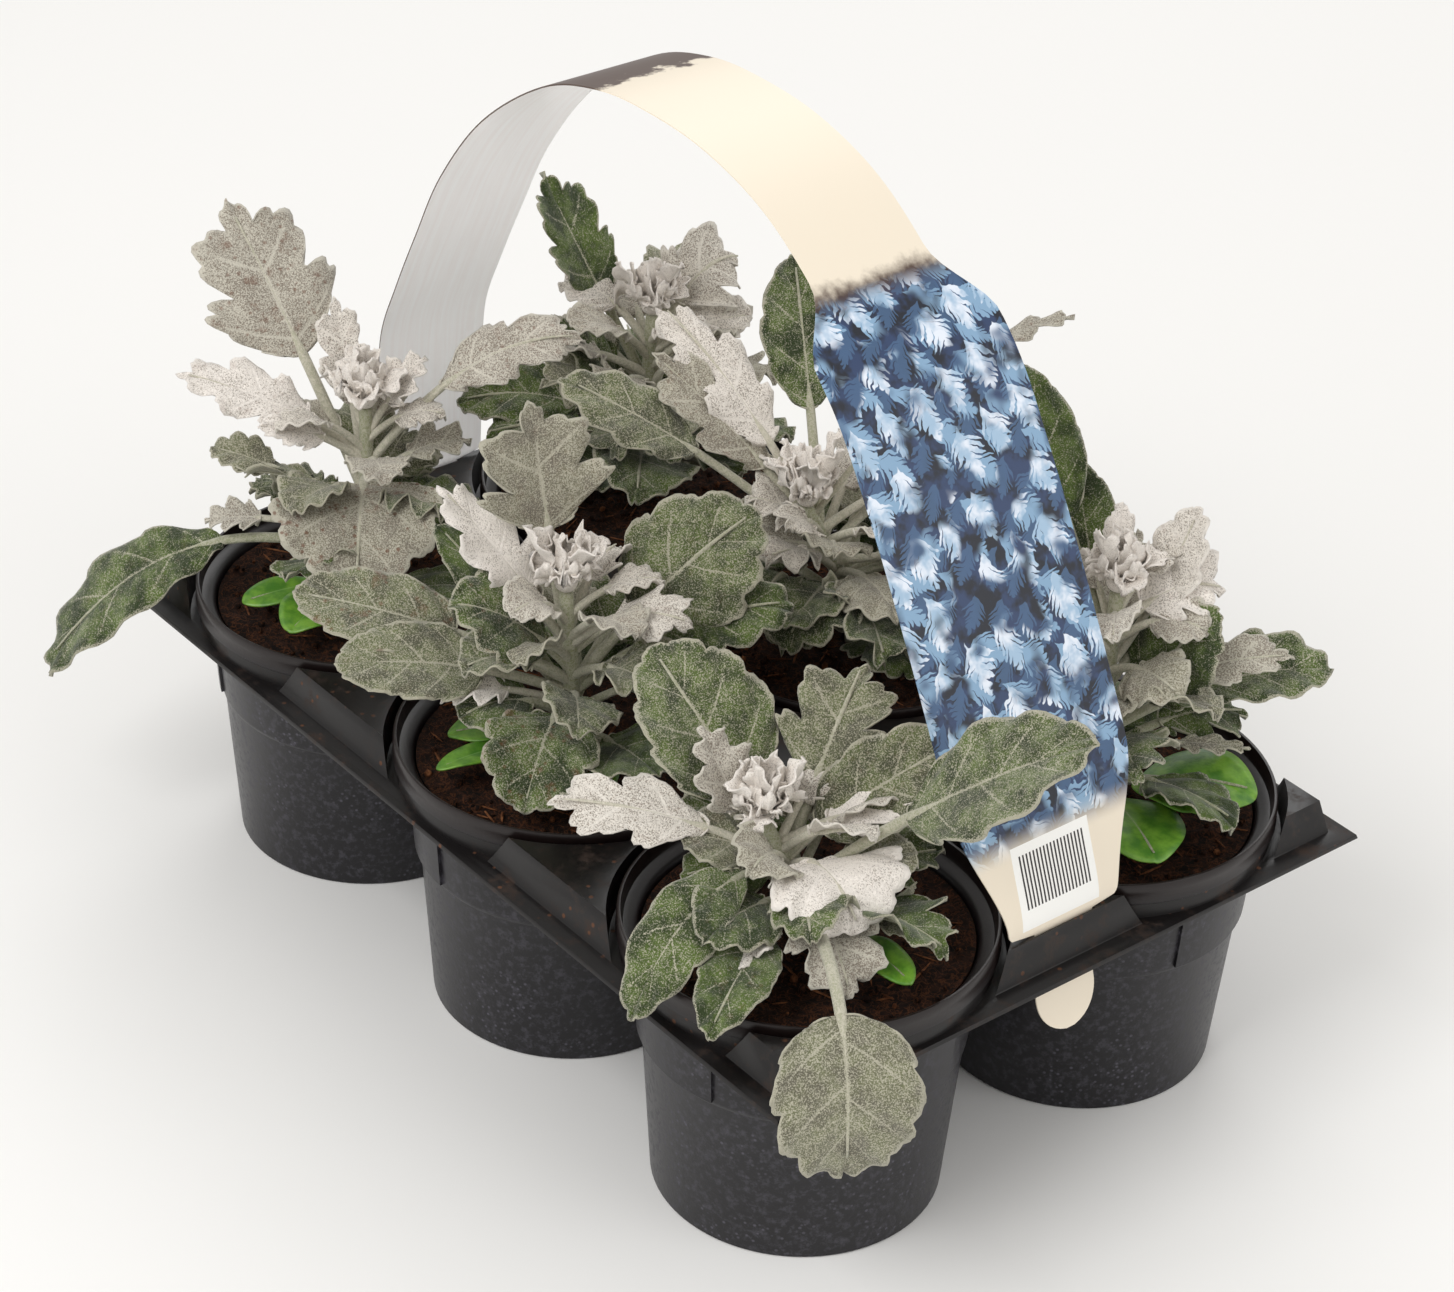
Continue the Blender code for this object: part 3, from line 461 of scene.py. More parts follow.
# One row for each leaf. Its heading is in degrees, its root is the height where it leaves the stem, tip
# is the tip's height, stalk the share of its length that is bare, wool and rust how much it has of them,
# and out how far out its bow lies, as a share of its reach. Lengths are in mm.
leafRow = namedtuple("leafRow", "form heading root reach tip width bow stalk roll wool rust out",
                     defaults=(0.0, 0.5))
plants = [
    dict(lean=(-4, 3), top=148, inner=18, leaves=[
        ("lobed", 186, 118, 66, 198, 48, 3, 0.45, 20, 0.62, 0.5),
        ("lobed", 165, 122, 28, 176, 18, 2, 0.4, 15, 0.8, 0.2),
        ("frond", 225, 132, 59, 158, 21, 4, 0.3, 35, 0.92, 0.2),
        ("frond", 242, 130, 33, 146, 15, 4, 0.4, 30, 0.92, 0.1),
        ("frond", 70, 138, 20, 166, 16, 3, 0.35, -25, 0.85, 0.2),
        ("round", 322, 124, 44, 112, 54, 9, 0.2, 0, 0.55, 0.7),
        ("round", 222, 108, 50, 131, 15, 4, 0.6, 20, 0.45),
        ("frond", 232, 100, 51, 109, 13, 5, 0.65, 20, 0.65),
        ("spat", 236, 97, 105, 55, 30, 24, 0.38, 20, 0.22, 0.1, 0.6),
        ("plain", 258, 88, 42, 91, 13, 2, 0.4, 10, 0),
        ("plain", 293, 88, 44, 93, 20, 3, 0.4, 0, 0),
        ("lobed", 58, 128, 69, 174, 24, 14, 0.35, -35, 0.65, 0.4),
        ("round", 125, 100, 46, 116, 28, 8, 0.45, 0, 0.35),
        ("round", 190, 98, 50, 106, 26, 6, 0.5, 0, 0.35),
    ]),
    dict(lean=(-4, -1), top=138, inner=17, leaves=[
        ("frond", 214, 118, 43, 167, 22, 3, 0.3, 30, 0.98),
        ("lobed", 180, 112, 24, 192, 44, -2, 0.55, 15, 0.52, 0.1),
        ("round", 72, 106, 56, 158, 44, 5, 0.35, -35, 0.36, 0.1),
        ("lobed", 22, 120, 39, 142, 25, 7, 0.35, -20, 0.75, 0.2),
        ("spat", 248, 112, 38, 141, 32, 6, 0.2, 30, 0.3, 0.3),
        ("round", 305, 100, 47, 92, 35, 10, 0.35, 5, 0.3, 0.5),
        ("round", 242, 104, 71, 120, 28, 5, 0.38, 30, 0.42, 0.1),
        ("round", 226, 108, 84, 132, 28, 4, 0.42, 30, 0.42, 0.5),
        ("spat", 200, 100, 50, 146, 20, 4, 0.35, 15, 0.12),
        ("round", 55, 104, 64, 136, 28, 8, 0.35, -30, 0.22),
        ("plain", 262, 87, 46, 92, 10, 3, 0.45, 0, 0),
        ("plain", 240, 88, 38, 93, 15, 3, 0.4, 0, 0),
        ("frond", 250, 100, 41, 112, 16, 3, 0.5, 10, 0.9),
        ("round", 120, 100, 50, 112, 30, 7, 0.4, 0, 0.3),
        ("plain", 335, 89, 38, 94, 15, 3, 0.4, 0, 0),
    ]),
    dict(lean=(-10, -10), top=119, inner=15, leaves=[
        ("round", 195, 104, 58, 155, 42, 2, 0.33, 20, 0.34),
        ("lobed", 230, 106, 74, 125, 24, 5, 0.33, 30, 0.78, 0.1),
        ("frond", 212, 106, 34, 144, 22, -3, 0.45, 25, 0.68, 0, 0.6),
        ("round", 68, 108, 44, 142, 28, 3, 0.2, -35, 0.4, 0.1),
        ("spat", 26, 98, 79, 172, 36, 6, 0.38, -30, 0.35),
        ("round", 343, 104, 34, 107, 42, 10, 0.3, 0, 0.95),
        ("lobed", 335, 96, 44, 93, 30, 8, 0.4, 0, 0.62),
        ("frond", 291, 94, 46, 98, 18, 5, 0.5, 0, 0.8),
        ("spat", 234, 98, 37, 102, 24, 5, 0.25, 20, 0.14),
        ("spat", 215, 100, 22, 110, 18, 3, 0.2, 15, 0.14),
        ("spat", 273, 104, 66, 84, 22, 16, 0.25, 20, 0.28, 0, 0.6),
        ("spat", 296, 94, 66, 92, 22, 7, 0.4, 0, 0.18, 0.2),
        ("round", 329, 96, 75, 55, 42, 27, 0.52, 0, 0.46, 0, 1.12),
        ("plain", 358, 88, 45, 94, 14, 3, 0.45, 0, 0),
        ("frond", 12, 94, 47, 100, 10, 3, 0.5, 0, 0.45),
        ("frond", 60, 112, 37, 131, 20, 2, 0.3, -20, 0.95),
        ("lobed", 122, 106, 41, 150, 36, 3, 0.35, 0, 0.42),
    ]),
    dict(lean=(-4, 5), top=152, inner=20, leaves=[
        ("round", 44, 106, 28, 153, 34, 0, 0.35, -50, 0.22),
        ("spat", 60, 106, 69, 125, 26, 7, 0.4, -20, 0.3),
        ("lobed", 50, 114, 54, 137, 18, 5, 0.35, -30, 0.6),
        ("lobed", 62, 138, 34, 154, 28, 8, 0.25, -30, 0.88, 0.2),
        ("round", 78, 128, 26, 178, 20, -3, 0.4, -20, 0.8, 0.2, 0.6),
        ("frond", 40, 98, 44, 108, 9, 4, 0.5, 0, 0.5),
        ("plain", 36, 88, 48, 97, 30, 4, 0.28, -5, 0),
        ("plain", 338, 88, 48, 95, 29, 3, 0.28, 0, 0),
        ("plain", 5, 92, 36, 98, 12, 3, 0.4, 0, 0),
        ("spat", 172, 130, 58, 203, 26, 2, 0.45, 20, 0.15),
        ("spat", 157, 124, 40, 178, 20, 2, 0.4, 10, 0.2),
        ("round", 110, 104, 50, 122, 32, 8, 0.4, 0, 0.3),
        ("lobed", 128, 116, 46, 152, 26, 6, 0.4, 0, 0.6),
        ("round", 205, 102, 46, 120, 28, 7, 0.4, 0, 0.3),
    ]),
    dict(lean=(-9, -15), top=132, inner=26, spread=1.25, leaves=[
        ("round", 296, 102, 54, 112, 42, 8, 0.3, 0, 0.32),
        ("frond", 200, 124, 77, 180, 24, 7, 0.3, 25, 0.82, 0.1),
        ("spat", 225, 114, 95, 168, 24, 5, 0.5, 25, 0.4),
        ("lobed", 213, 118, 70, 171, 26, 4, 0.35, 30, 0.56, 0.3),
        ("lobed", 276, 108, 42, 130, 22, 5, 0.4, 0, 0.7, 0.2),
        ("spat", 165, 122, 58, 192, 26, 4, 0.4, 15, 0.3),
        ("round", 25, 104, 50, 120, 34, 8, 0.4, 0, 0.3),
        ("round", 72, 102, 52, 122, 34, 8, 0.4, 0, 0.3),
        ("lobed", 105, 112, 50, 150, 30, 8, 0.4, 0, 0.55),
        ("round", 135, 100, 52, 112, 30, 8, 0.4, 0, 0.3),
        ("frond", 50, 128, 60, 201, 11, 14, 0.6, 0, 0.6, 0.4),
    ]),
    dict(lean=(0, 2), top=150, inner=28, spread=1.25, leaves=[
        ("lobed", 205, 124, 40, 192, 32, 0, 0.4, 15, 0.16),
        ("lobed", 75, 134, 34, 166, 34, 12, 0.3, -30, 0.7, 0.1),
        ("spat", 238, 112, 30, 148, 26, 3, 0.3, 20, 0.25),
        ("spat", 229, 104, 63, 115, 26, 9, 0.35, 25, 0.22, 0.2),
        ("frond", 30, 124, 26, 150, 18, 3, 0.35, -20, 0.8),
        ("round", 150, 104, 50, 122, 32, 8, 0.4, 0, 0.3),
        ("round", 105, 100, 50, 112, 30, 8, 0.4, 0, 0.3),
        ("spat", 188, 98, 52, 106, 26, 7, 0.45, 0, 0.3),
        ("lobed", 128, 116, 48, 156, 28, 6, 0.4, 0, 0.45),
        ("round", 335, 104, 46, 124, 28, 8, 0.4, 0, 0.32),
    ]),
]


def between(pair, share):
    return pair[0] + (pair[1] - pair[0]) * share


# More small leaves low round each stem, in the same manner, that fill the plant's middle
def innerLeaves(plant, rng):
    d = innerDesign
    rows = []
    for i in range(plant["inner"]):
        share = (i + 0.5) / plant["inner"]
        form = rng.choice(("round", "spat", "lobed", "frond"))
        root = leafMake["soilTop"] + 5 + share * (plant["top"] - leafMake["soilTop"] - 12)
        spread = plant.get("spread", 1.0)
        reach = between(d["reach"], share) * rng.uniform(0.85, 1.15) * min(spread, 1.0 + share)
        rows.append((form, goldenTurn * i + rng.uniform(-20, 20), root, reach,
                     root + between(d["rise"], share) * rng.uniform(0.7, 1.3),
                     between(d["width"], share) * rng.uniform(0.85, 1.15) * spread, rng.uniform(3, 7),
                     0.38, rng.uniform(-25, 25), between(d["wool"], share) + rng.uniform(-0.08, 0.08),
                     0.1))
    return rows


def stemPoint(plant, height):
    share = max(0.0, (height - leafMake["soilTop"]) / (plant["top"] - leafMake["soilTop"]))
    bend = share ** 1.4
    return np.array([plant["lean"][0] * bend, plant["lean"][1] * bend, height])


def eased(share):
    share = np.clip(share, 0.0, 1.0)
    return share * share * (3 - 2 * share)


# The leaf's middle line from its root to its tip, in mm, and the two directions square to it
def leafLine(root, row):
    turn = math.radians(row.heading)
    away = np.array([math.cos(turn), math.sin(turn), 0.0])
    level = np.array([-math.sin(turn), math.cos(turn), 0.0])
    end = away * row.reach + np.array([0.0, 0.0, row.tip])
    crest = away * row.reach * row.out
    crest[2] = (root[2] + row.tip) / 2 + 2 * row.bow
    crest[:2] += root[:2] * 0.5

    def at(s):
        s = np.asarray(s, dtype=float)[:, None]
        place = root * (1 - s) ** 2 + crest * 2 * s * (1 - s) + end * s * s
        along = (crest - root) * (1 - s) + (end - crest) * s
        along /= np.linalg.norm(along, axis=1, keepdims=True)
        across = level - along * (along @ level)[:, None]
        across /= np.linalg.norm(across, axis=1, keepdims=True)
        upward = np.cross(along, across)
        tilt = math.radians(row.roll) * eased(s / row.stalk)
        return (place, across * np.cos(tilt) - upward * np.sin(tilt),
                upward * np.cos(tilt) + across * np.sin(tilt))
    return at


# A blade from a flat grid: its two halves are folded out from the midrib, and each row of points runs
# from the midrib (u = 0) to the margin (u = 1), which goes from the blade's foot to its tip (t)
def leafSheet(name, at, row, rng):
    look = leafForms[row.form]
    grain = "large" if row.width > leafMake["large"] else "small"
    spokes, rings = leafMake["grids"]["young" if row.form == "young" else grain]
    leaf = added(bpy.ops.mesh.primitive_grid_add, name, x_subdivisions=2 * spokes, y_subdivisions=rings,
                 size=2)
    grid = getCoords(leaf)
    side = np.where(grid[:, 0] > 0, -1.0, 1.0)
    w = 1 - np.abs(grid[:, 0])
    u = (grid[:, 1] + 1) / 2
    shares = np.linspace(row.stalk, 1.0, 60)
    lengths = lineLengths(at(shares)[0])
    length = lengths[-1]
    t = (1 - np.cos(math.pi * w)) / 2
    swell = np.sin(math.pi * np.clip(t, 0, 1) ** look["early"]) ** look["full"]
    uneven = 1 + side * rng.uniform(-0.07, 0.07)
    marginX = length * t
    marginY = row.width / 2 * swell + leafMake["foot"] * (1 - w) ** 4
    ahead = np.clip((marginX - look["sweep"] * marginY) / length, 0, 1)
    marginY = marginY * uneven
    ribX = length * 0.75 * (1 - (1 - ahead) ** 1.35)
    lobes = look["lobes"] + 0.5
    shift = side * rng.uniform(-0.04, 0.04) * np.sin(math.pi * w)
    phase = lobes * (w + shift)
    lobe = np.abs(np.sin(math.pi * phase)) ** look["point"]
    tooth = np.abs(np.sin(math.pi * phase * 3)) ** 0.7
    reach = 1 - look["depth"] * (1 - lobe) * u ** 1.5 - look["teeth"] * (1 - tooth) * u ** 3
    x = ribX + (marginX - ribX) * u * reach - 0.05 * marginY * np.sin(math.pi * u)
    x = np.clip(x, 0, length)
    y = marginY * u * reach
    outward = y / (row.width / 2)
    place, across, upward = at(np.interp(x, lengths, shares))
    lift = math.sin(math.radians(look["fold"])) * eased(3 * x / length) * y
    sway = rng.uniform(0, 2 * math.pi)
    size = min(1.0, row.width / 26)
    roll, tipRoll = rng.uniform(-1, 0.6) * look["curl"], rng.uniform(-1, 0.5) * look["curl"]
    ruffle = look["ruffle"] * size * u ** 3 * np.sin(2 * math.pi * phase + side * sway)
    quilt = look["quilt"] * size * np.sin(math.pi * u) * (1 - np.abs(np.sin(math.pi * phase)))
    wave = 0.035 * row.width * np.sin(math.pi * 1.6 * x / length + sway) * outward * side
    droop = row.width * ((roll - 0.03) * outward ** 2 + (tipRoll - 0.04) * (x / length) ** 4)
    height = lift + ruffle + quilt + wave + droop
    setCoords(leaf, (place + across * (side * y)[:, None] + upward * height[:, None]) * mm)
    setUv(leaf, phase, u)
    weld(leaf)
    addValues(leaf, wool=row.wool, rust=row.rust)
    paint(leaf, *((seedLeaf, seedLeaf) if row.form == "plain" else (leafTop, leafUnder)))
    applyModifier(leaf, "SOLIDIFY", thickness=leafMake["blade"] * mm, offset=0.0, material_offset=1,
                  material_offset_rim=1)
    return leaf


# How far along its line each of some points lies
def lineLengths(points):
    return np.concatenate(([0.0], np.cumsum(np.linalg.norm(np.diff(points, axis=0), axis=1))))


# A closed tube along points in mm, its radii in mm, made from a rolled-up grid
def feltTube(name, places, acrosses, upwards, radii, around, wool):
    steps = len(radii) - 1
    tube = added(bpy.ops.mesh.primitive_grid_add, name, x_subdivisions=around, y_subdivisions=steps,
                 size=2)
    grid = getCoords(tube)
    turn = (grid[:, 0] + 1) * math.pi
    index = np.round((grid[:, 1] + 1) / 2 * steps).astype(int)
    radius = radii[index][:, None]
    coords = (places[index] + acrosses[index] * radius * np.cos(turn)[:, None]
              + upwards[index] * radius * 0.85 * np.sin(turn)[:, None])
    setCoords(tube, coords * mm)
    setUv(tube, turn / (2 * math.pi), index / steps * len(radii) / 10)
    weld(tube)
    addValues(tube, wool=wool, rust=0.0)
    paint(tube, stalk)
    return tube


# The first and the last row once more, where a tube closes to a point
def withEnds(rows):
    return np.concatenate((rows[:1], rows, rows[-1:]))


def leafStalk(name, at, row):
    ribEnd = leafMake["ribEnd"]
    thick = min(1.7, 0.75 + row.width / 36)
    shares = np.concatenate((np.linspace(0, row.stalk, 11), np.linspace(row.stalk, ribEnd, 11)[1:]))
    place, across, upward = (withEnds(part) for part in at(shares))
    blade = np.clip((shares - row.stalk) / (ribEnd - row.stalk), 0, 1)
    radii = thick * (1.25 - 0.25 * np.clip(shares / row.stalk, 0, 1)) * (1 - 0.8 * blade ** 0.7)
    sink = np.pad(radii * 0.55 * eased(blade * 6), 1)[:, None]
    return feltTube(name, place - upward * sink, across, upward, np.pad(radii, 1),
                    leafMake["stalkSides"], min(1.0, row.wool + 0.15))


def buildPlant(number):
    rng = random.Random(100 + number)
    plant = plants[number - 1]
    soilTop = leafMake["soilTop"]
    heights = np.concatenate(([soilTop - leafMake["stemSunk"]], np.linspace(soilTop - 18, plant["top"], 16)))
    places = withEnds(np.array([stemPoint(plant, h) for h in heights]))
    radii = leafMake["stemRadius"] * (1.0 - 0.32 * np.clip((heights - soilTop) / 60, 0, 1))
    sideways, forward = (np.tile(axis, (len(places), 1)) for axis in ((1.0, 0.0, 0.0), (0.0, 1.0, 0.0)))
    parts = [feltTube(f"stem{number}", places, sideways, forward, np.pad(radii, 1),
                      leafMake["stemSides"], 0.3)]
    for i, values in enumerate(plant["leaves"] + innerLeaves(plant, rng)):
        row = leafRow(*values)
        at = leafLine(stemPoint(plant, row.root), row)
        parts.append(leafSheet(f"leaf{number}x{i}", at, row, rng))
        parts.append(leafStalk(f"stalk{number}x{i}", at, row))
    whole = joined(parts, f"dustyMiller{number}")
    moveMesh(whole, potPlaces[number - 1])
    select(whole)
    bpy.ops.object.shade_smooth()
    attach(whole, "root")
    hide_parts(f"plant_{number}")


# The crown: small curled young leaves packed round the bud, the outer opening and the inner closing
# over it. Reach, out, rise and width go from the outermost leaf to the innermost; out is the bulge as a
# share of the reach. The first few are loose: longer, and lying anyhow, so that no crown is a ball.
crownDesign = dict(leaves=28, reach=(10.5, 2.0), out=(0.75, 2.6), rise=(2.0, 17.5), width=(10.5, 8.0),
                   loose=5, gap=0.3, budRadius=3.6)


def buildCrown(number):
    rng = random.Random(300 + number)
    plant = plants[number - 1]
    d = crownDesign
    foot = stemPoint(plant, plant["top"])
    base = foot[2] + d["gap"] + d["budRadius"]
    bud = added(bpy.ops.mesh.primitive_uv_sphere_add, "bud", segments=20, ring_count=12,
                radius=d["budRadius"] * mm, location=(0, 0, base * mm))
    applyPlace(bud)
    addValues(bud, wool=1.0, rust=0.0)
    paint(bud, leafTop)
    parts = [bud]
    for i in range(d["leaves"]):
        share = i / (d["leaves"] - 1)
        heading = goldenTurn * i + 37 * number + rng.uniform(-12, 12)
        loose = i < d["loose"]
        reach = between(d["reach"], share) * (rng.uniform(1.1, 1.5) if loose else rng.uniform(0.85, 1.1))
        rise = rng.uniform(-2, 22) if loose else between(d["rise"], share) * rng.uniform(0.8, 1.1)
        width = between(d["width"], share) * rng.uniform(0.85, 1.15)
        row = leafRow("young", heading, base, reach, base + rise, width, 2.0 * (1 - share), 0.2,
                      rng.uniform(-35, 35), 0.97, 0.0, between(d["out"], share))
        at = leafLine(np.array([0.0, 0.0, base]), row)
        parts.append(leafSheet(f"young{number}x{i}", at, row, rng))
    whole = joined(parts, f"crown{number}")
    moveMesh(whole, Vector((foot[0] * mm, foot[1] * mm, 0.0)) + potPlaces[number - 1])
    select(whole)
    bpy.ops.object.shade_smooth()
    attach(whole, "root")
    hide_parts(f"crown_{number}")


print("plants")
for number in range(1, len(plants) + 1):
    buildPlant(number)
    buildCrown(number)


# Pot profile from the middle of its base up the outside and down the inside: radius, height in mm.
# Pads are raised stretches of the upper wall, by height; drains lie in turn on two circles.
potDesign = dict(sides=112, padCount=4, padShare=0.55, padStep=0.9, padHeights=(53.8, 82.3), drains=8,
                 drainRadius=3.2, drainCircles=(30, 16), drainTurn=0.26, rings=[
    (5, 3), (37.6, 3), (38.2, 2.4), (38.5, 0.4), (38.9, 0), (42.0, 0), (42.5, 0.5), (46.2, 51.4),
    (46.4, 52.0), (47.0, 52.9), (47.1, 53.6), (49.1, 82.4), (49.3, 83.4), (49.8, 83.9), (53.7, 84.0),
    (54.2, 84.5), (54.15, 85.4), (53.95, 87.8), (54.1, 88.2), (54.0, 90.3), (53.7, 90.9), (53.3, 91.0),
    (52.9, 90.9), (52.7, 90.4), (52.5, 87.0), (52.1, 86.2), (49.3, 85.4), (48.4, 84.6), (47.8, 83.4),
    (41.0, 5.0), (40.3, 4.3), (5, 4.3)])


def buildPot():
    d = potDesign
    pot = turnedBody("pot", d["rings"], d["sides"])
    low, high = d["padHeights"]

    def onPad(face):
        middle = face.center
        turn = (math.atan2(middle.y, middle.x) / (2 * math.pi) * d["padCount"]) % 1.0
        outward = face.normal.x * middle.x + face.normal.y * middle.y > 0
        return outward and low * mm < middle.z < high * mm and turn < d["padShare"]

    editFaces(pot, onPad)
    bpy.ops.mesh.extrude_region_shrink_fatten(TRANSFORM_OT_shrink_fatten={"value": d["padStep"] * mm})
    setMode("OBJECT")
    for i in range(d["drains"]):
        turn = 2 * math.pi * i / d["drains"] + d["drainTurn"]
        reach = d["drainCircles"][i % 2] * mm
        hole = added(bpy.ops.mesh.primitive_cylinder_add, "drain", vertices=24,
                     radius=d["drainRadius"] * mm, depth=8 * mm,
                     location=(reach * math.cos(turn), reach * math.sin(turn), 4 * mm))
        applyPlace(hole)
        applyModifier(pot, "BOOLEAN", operation="DIFFERENCE", object=hole, solver="EXACT")
        bpy.data.objects.remove(hole, do_unlink=True)
    paint(pot, potPlastic)
    smooth(pot, 40)
    return pot


print("pots")
potModel = buildPot()
for number, place in enumerate(potPlaces, 1):
    pot = copyOf(potModel)
    pot.name = f"pot{number}"
    pot.data.name = pot.name
    pot.location = place
    pot.rotation_euler = (0, 0, number * 0.35)
    applyPlace(pot)
    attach(pot, "root")
    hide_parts(f"pot_{number}")
bpy.data.objects.remove(potModel, do_unlink=True)


# Peat plug, in mm: a cone-shaped body with a hole for the stem. Its top is all small lumps, each kind by
# its length and height, with loose crumbs and fibres on it.
soilDesign = dict(top=83.4, edge=47.2, foot=40.2, floor=4.6, hole=4.3, holeDepth=22, rings=42, sides=96,
                  lumps=((9, 1.3), (3.2, 1.0), (1.4, 0.5)), sunk=0.4, crumbs=150, fibres=55)


def buildSoil(number):
    d = soilDesign
    rng = random.Random(500 + number)
    top, edge, hole = d["top"], d["edge"], d["hole"]
    rings = [(2, d["floor"]), (d["foot"], d["floor"]), (edge, top - 3)]
    rings += [(edge - (edge - hole) * k / d["rings"], top) for k in range(d["rings"] + 1)]
    rings += [(hole, top - d["holeDepth"]), (1, top - d["holeDepth"] - 0.2)]
    soil = turnedBody(f"peat{number}", rings, d["sides"])
    coords = getCoords(soil)
    seed = 31.7 * number
    for c in coords:
        radius = math.hypot(c[0], c[1]) / mm
        if c[2] > (top - 1) * mm and radius > hole + 0.2:
            p = Vector((c[0] / mm, c[1] / mm, seed))
            fade = min(1.0, (edge + 0.6 - radius) / 3.0)
            lumps = sum(noise.noise(p / size) * rise for size, rise in d["lumps"])
            c[2] += (lumps - d["sunk"]) * mm * fade
    setCoords(soil, coords)
    paint(soil, peat, peatChip)
    crumb = added(bpy.ops.mesh.primitive_ico_sphere_add, "crumb", subdivisions=1, radius=1 * mm)
    paint(crumb, peat, peatChip)
    parts = [soil]
    for i in range(d["crumbs"] + d["fibres"]):
        turn, radius = rng.uniform(0, 2 * math.pi), math.sqrt(rng.uniform(0.02, 0.93)) * edge
        piece = copyOf(crumb)
        piece.location = (radius * mm * math.cos(turn), radius * mm * math.sin(turn), (top + 0.1) * mm)
        piece.rotation_euler = (rng.uniform(0, 3), rng.uniform(0, 3), rng.uniform(0, 6))
        if i < d["crumbs"]:
            size = rng.uniform(0.5, 1.5)
            piece.scale = (size * rng.uniform(0.7, 1.4), size, size * 0.8)
        else:
            piece.rotation_euler = (0, rng.uniform(-0.25, 0.25), rng.uniform(0, 6))
            piece.scale = (rng.uniform(2.5, 6.0), rng.uniform(0.25, 0.5), 0.25)
        if i >= d["crumbs"] or i % 9 == 0:
            for face in piece.data.polygons:
                face.material_index = 1
        parts.append(piece)
    applyPlace(*parts)
    soil = joined(parts, f"peat{number}")
    bpy.data.objects.remove(crumb, do_unlink=True)
    moveMesh(soil, potPlaces[number - 1])
    smooth(soil, 50)
    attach(soil, "root")
    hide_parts(f"soil_{number}")


print("peat")
for number in range(1, len(potPlaces) + 1):
    buildSoil(number)


# Tray, in mm: a plate, islands between the wells, and collars that carry the pots
trayDesign = dict(halfX=165.5, halfY=111.2, flange=79.0, island=90.0, sheet=1.2, foot=6.0, head=9.0,
                  well=56.4, hole=50.4, collar=53.2, rimBottom=84.0, slotX=155.0, slotMiddle=87,
                  slotSize=(1.8, 23, 14), edgeRound=0.7, sides=112)


def taperedBlock(name, footX, footY, headX, headY, low, high):
    block = added(bpy.ops.mesh.primitive_cube_add, name, size=2, location=(0, 0, (low + high) / 2 * mm),
                  scale=(footX * mm, footY * mm, (high - low) / 2 * mm))
    applyPlace(block)
    editFaces(block, lambda face: face.normal.z > 0.5)
    bpy.ops.transform.resize(value=(headX / footX, headY / footY, 1), center_override=(0, 0, high * mm))
    setMode("OBJECT")
    return block


def roundBlock(radius, low, high, place, widen=0.0):
    block = added(bpy.ops.mesh.primitive_cone_add, "round", vertices=trayDesign["sides"],
                  radius1=radius * mm, radius2=(radius + widen) * mm, depth=(high - low) * mm,
                  location=(place.x, place.y, (low + high) / 2 * mm))
    applyPlace(block)
    return block


# One Boolean with all the tools at once, which are then removed
def cut(piece, tools, operation="DIFFERENCE"):
    group = bpy.data.collections.new("tools")
    bpy.context.scene.collection.children.link(group)
    for tool in tools:
        group.objects.link(tool)
    applyModifier(piece, "BOOLEAN", operation=operation, operand_type="COLLECTION", collection=group,
                  solver="EXACT")
    for tool in tools:
        bpy.data.objects.remove(tool, do_unlink=True)
    bpy.data.collections.remove(group)


def buildTray():
    d = trayDesign
    sheet, flange, island = d["sheet"], d["flange"], d["island"]
    halfX, halfY, foot, head = d["halfX"], d["halfY"], d["foot"], d["head"]

    def atPots(radius, low, high, widen=0.0):
        return [roundBlock(radius, low, high, place - gridMiddle, widen) for place in potPlaces]

    tray = taperedBlock("carryTray", halfX - foot, halfY - foot, halfX - head, halfY - head,
                        flange - sheet, island)
    inside = taperedBlock("inside", halfX - foot - sheet, halfY - foot - sheet, halfX - head - sheet,
                          halfY - head - sheet, flange - 2 * sheet, island - sheet)
    cut(tray, atPots(d["well"] - 0.4, flange, island + 1, 1.0))
    cut(inside, atPots(d["well"] + sheet, flange - 4 * sheet, island + 1, 1.0))
    cut(tray, [taperedBlock("plate", halfX, halfY, halfX - 0.4, halfY - 0.4, flange - sheet, flange)],
        "UNION")
    cut(tray, atPots(d["collar"], flange - sheet, d["rimBottom"] - 0.3), "UNION")
    cut(tray, atPots(d["hole"], flange - 4 * sheet, d["rimBottom"] + 1))
    cut(tray, [inside])
    slots = []
    for side in (-1, 1):
        slots.append(added(bpy.ops.mesh.primitive_cube_add, "slot", size=1,
                           location=(side * d["slotX"] * mm, 0, d["slotMiddle"] * mm),
                           scale=[length * mm for length in d["slotSize"]]))
        applyPlace(slots[-1])
    cut(tray, slots)
    weld(tray, 0.02 * mm)
    applyModifier(tray, "BEVEL", width=d["edgeRound"] * mm, segments=2, limit_method="ANGLE",
                  angle_limit=math.radians(38), use_clamp_overlap=True)
    paint(tray, trayPlastic)
    moveMesh(tray, gridMiddle)
    smooth(tray, 35)
    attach(tray, "root")
    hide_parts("tray")


print("tray")
buildTray()


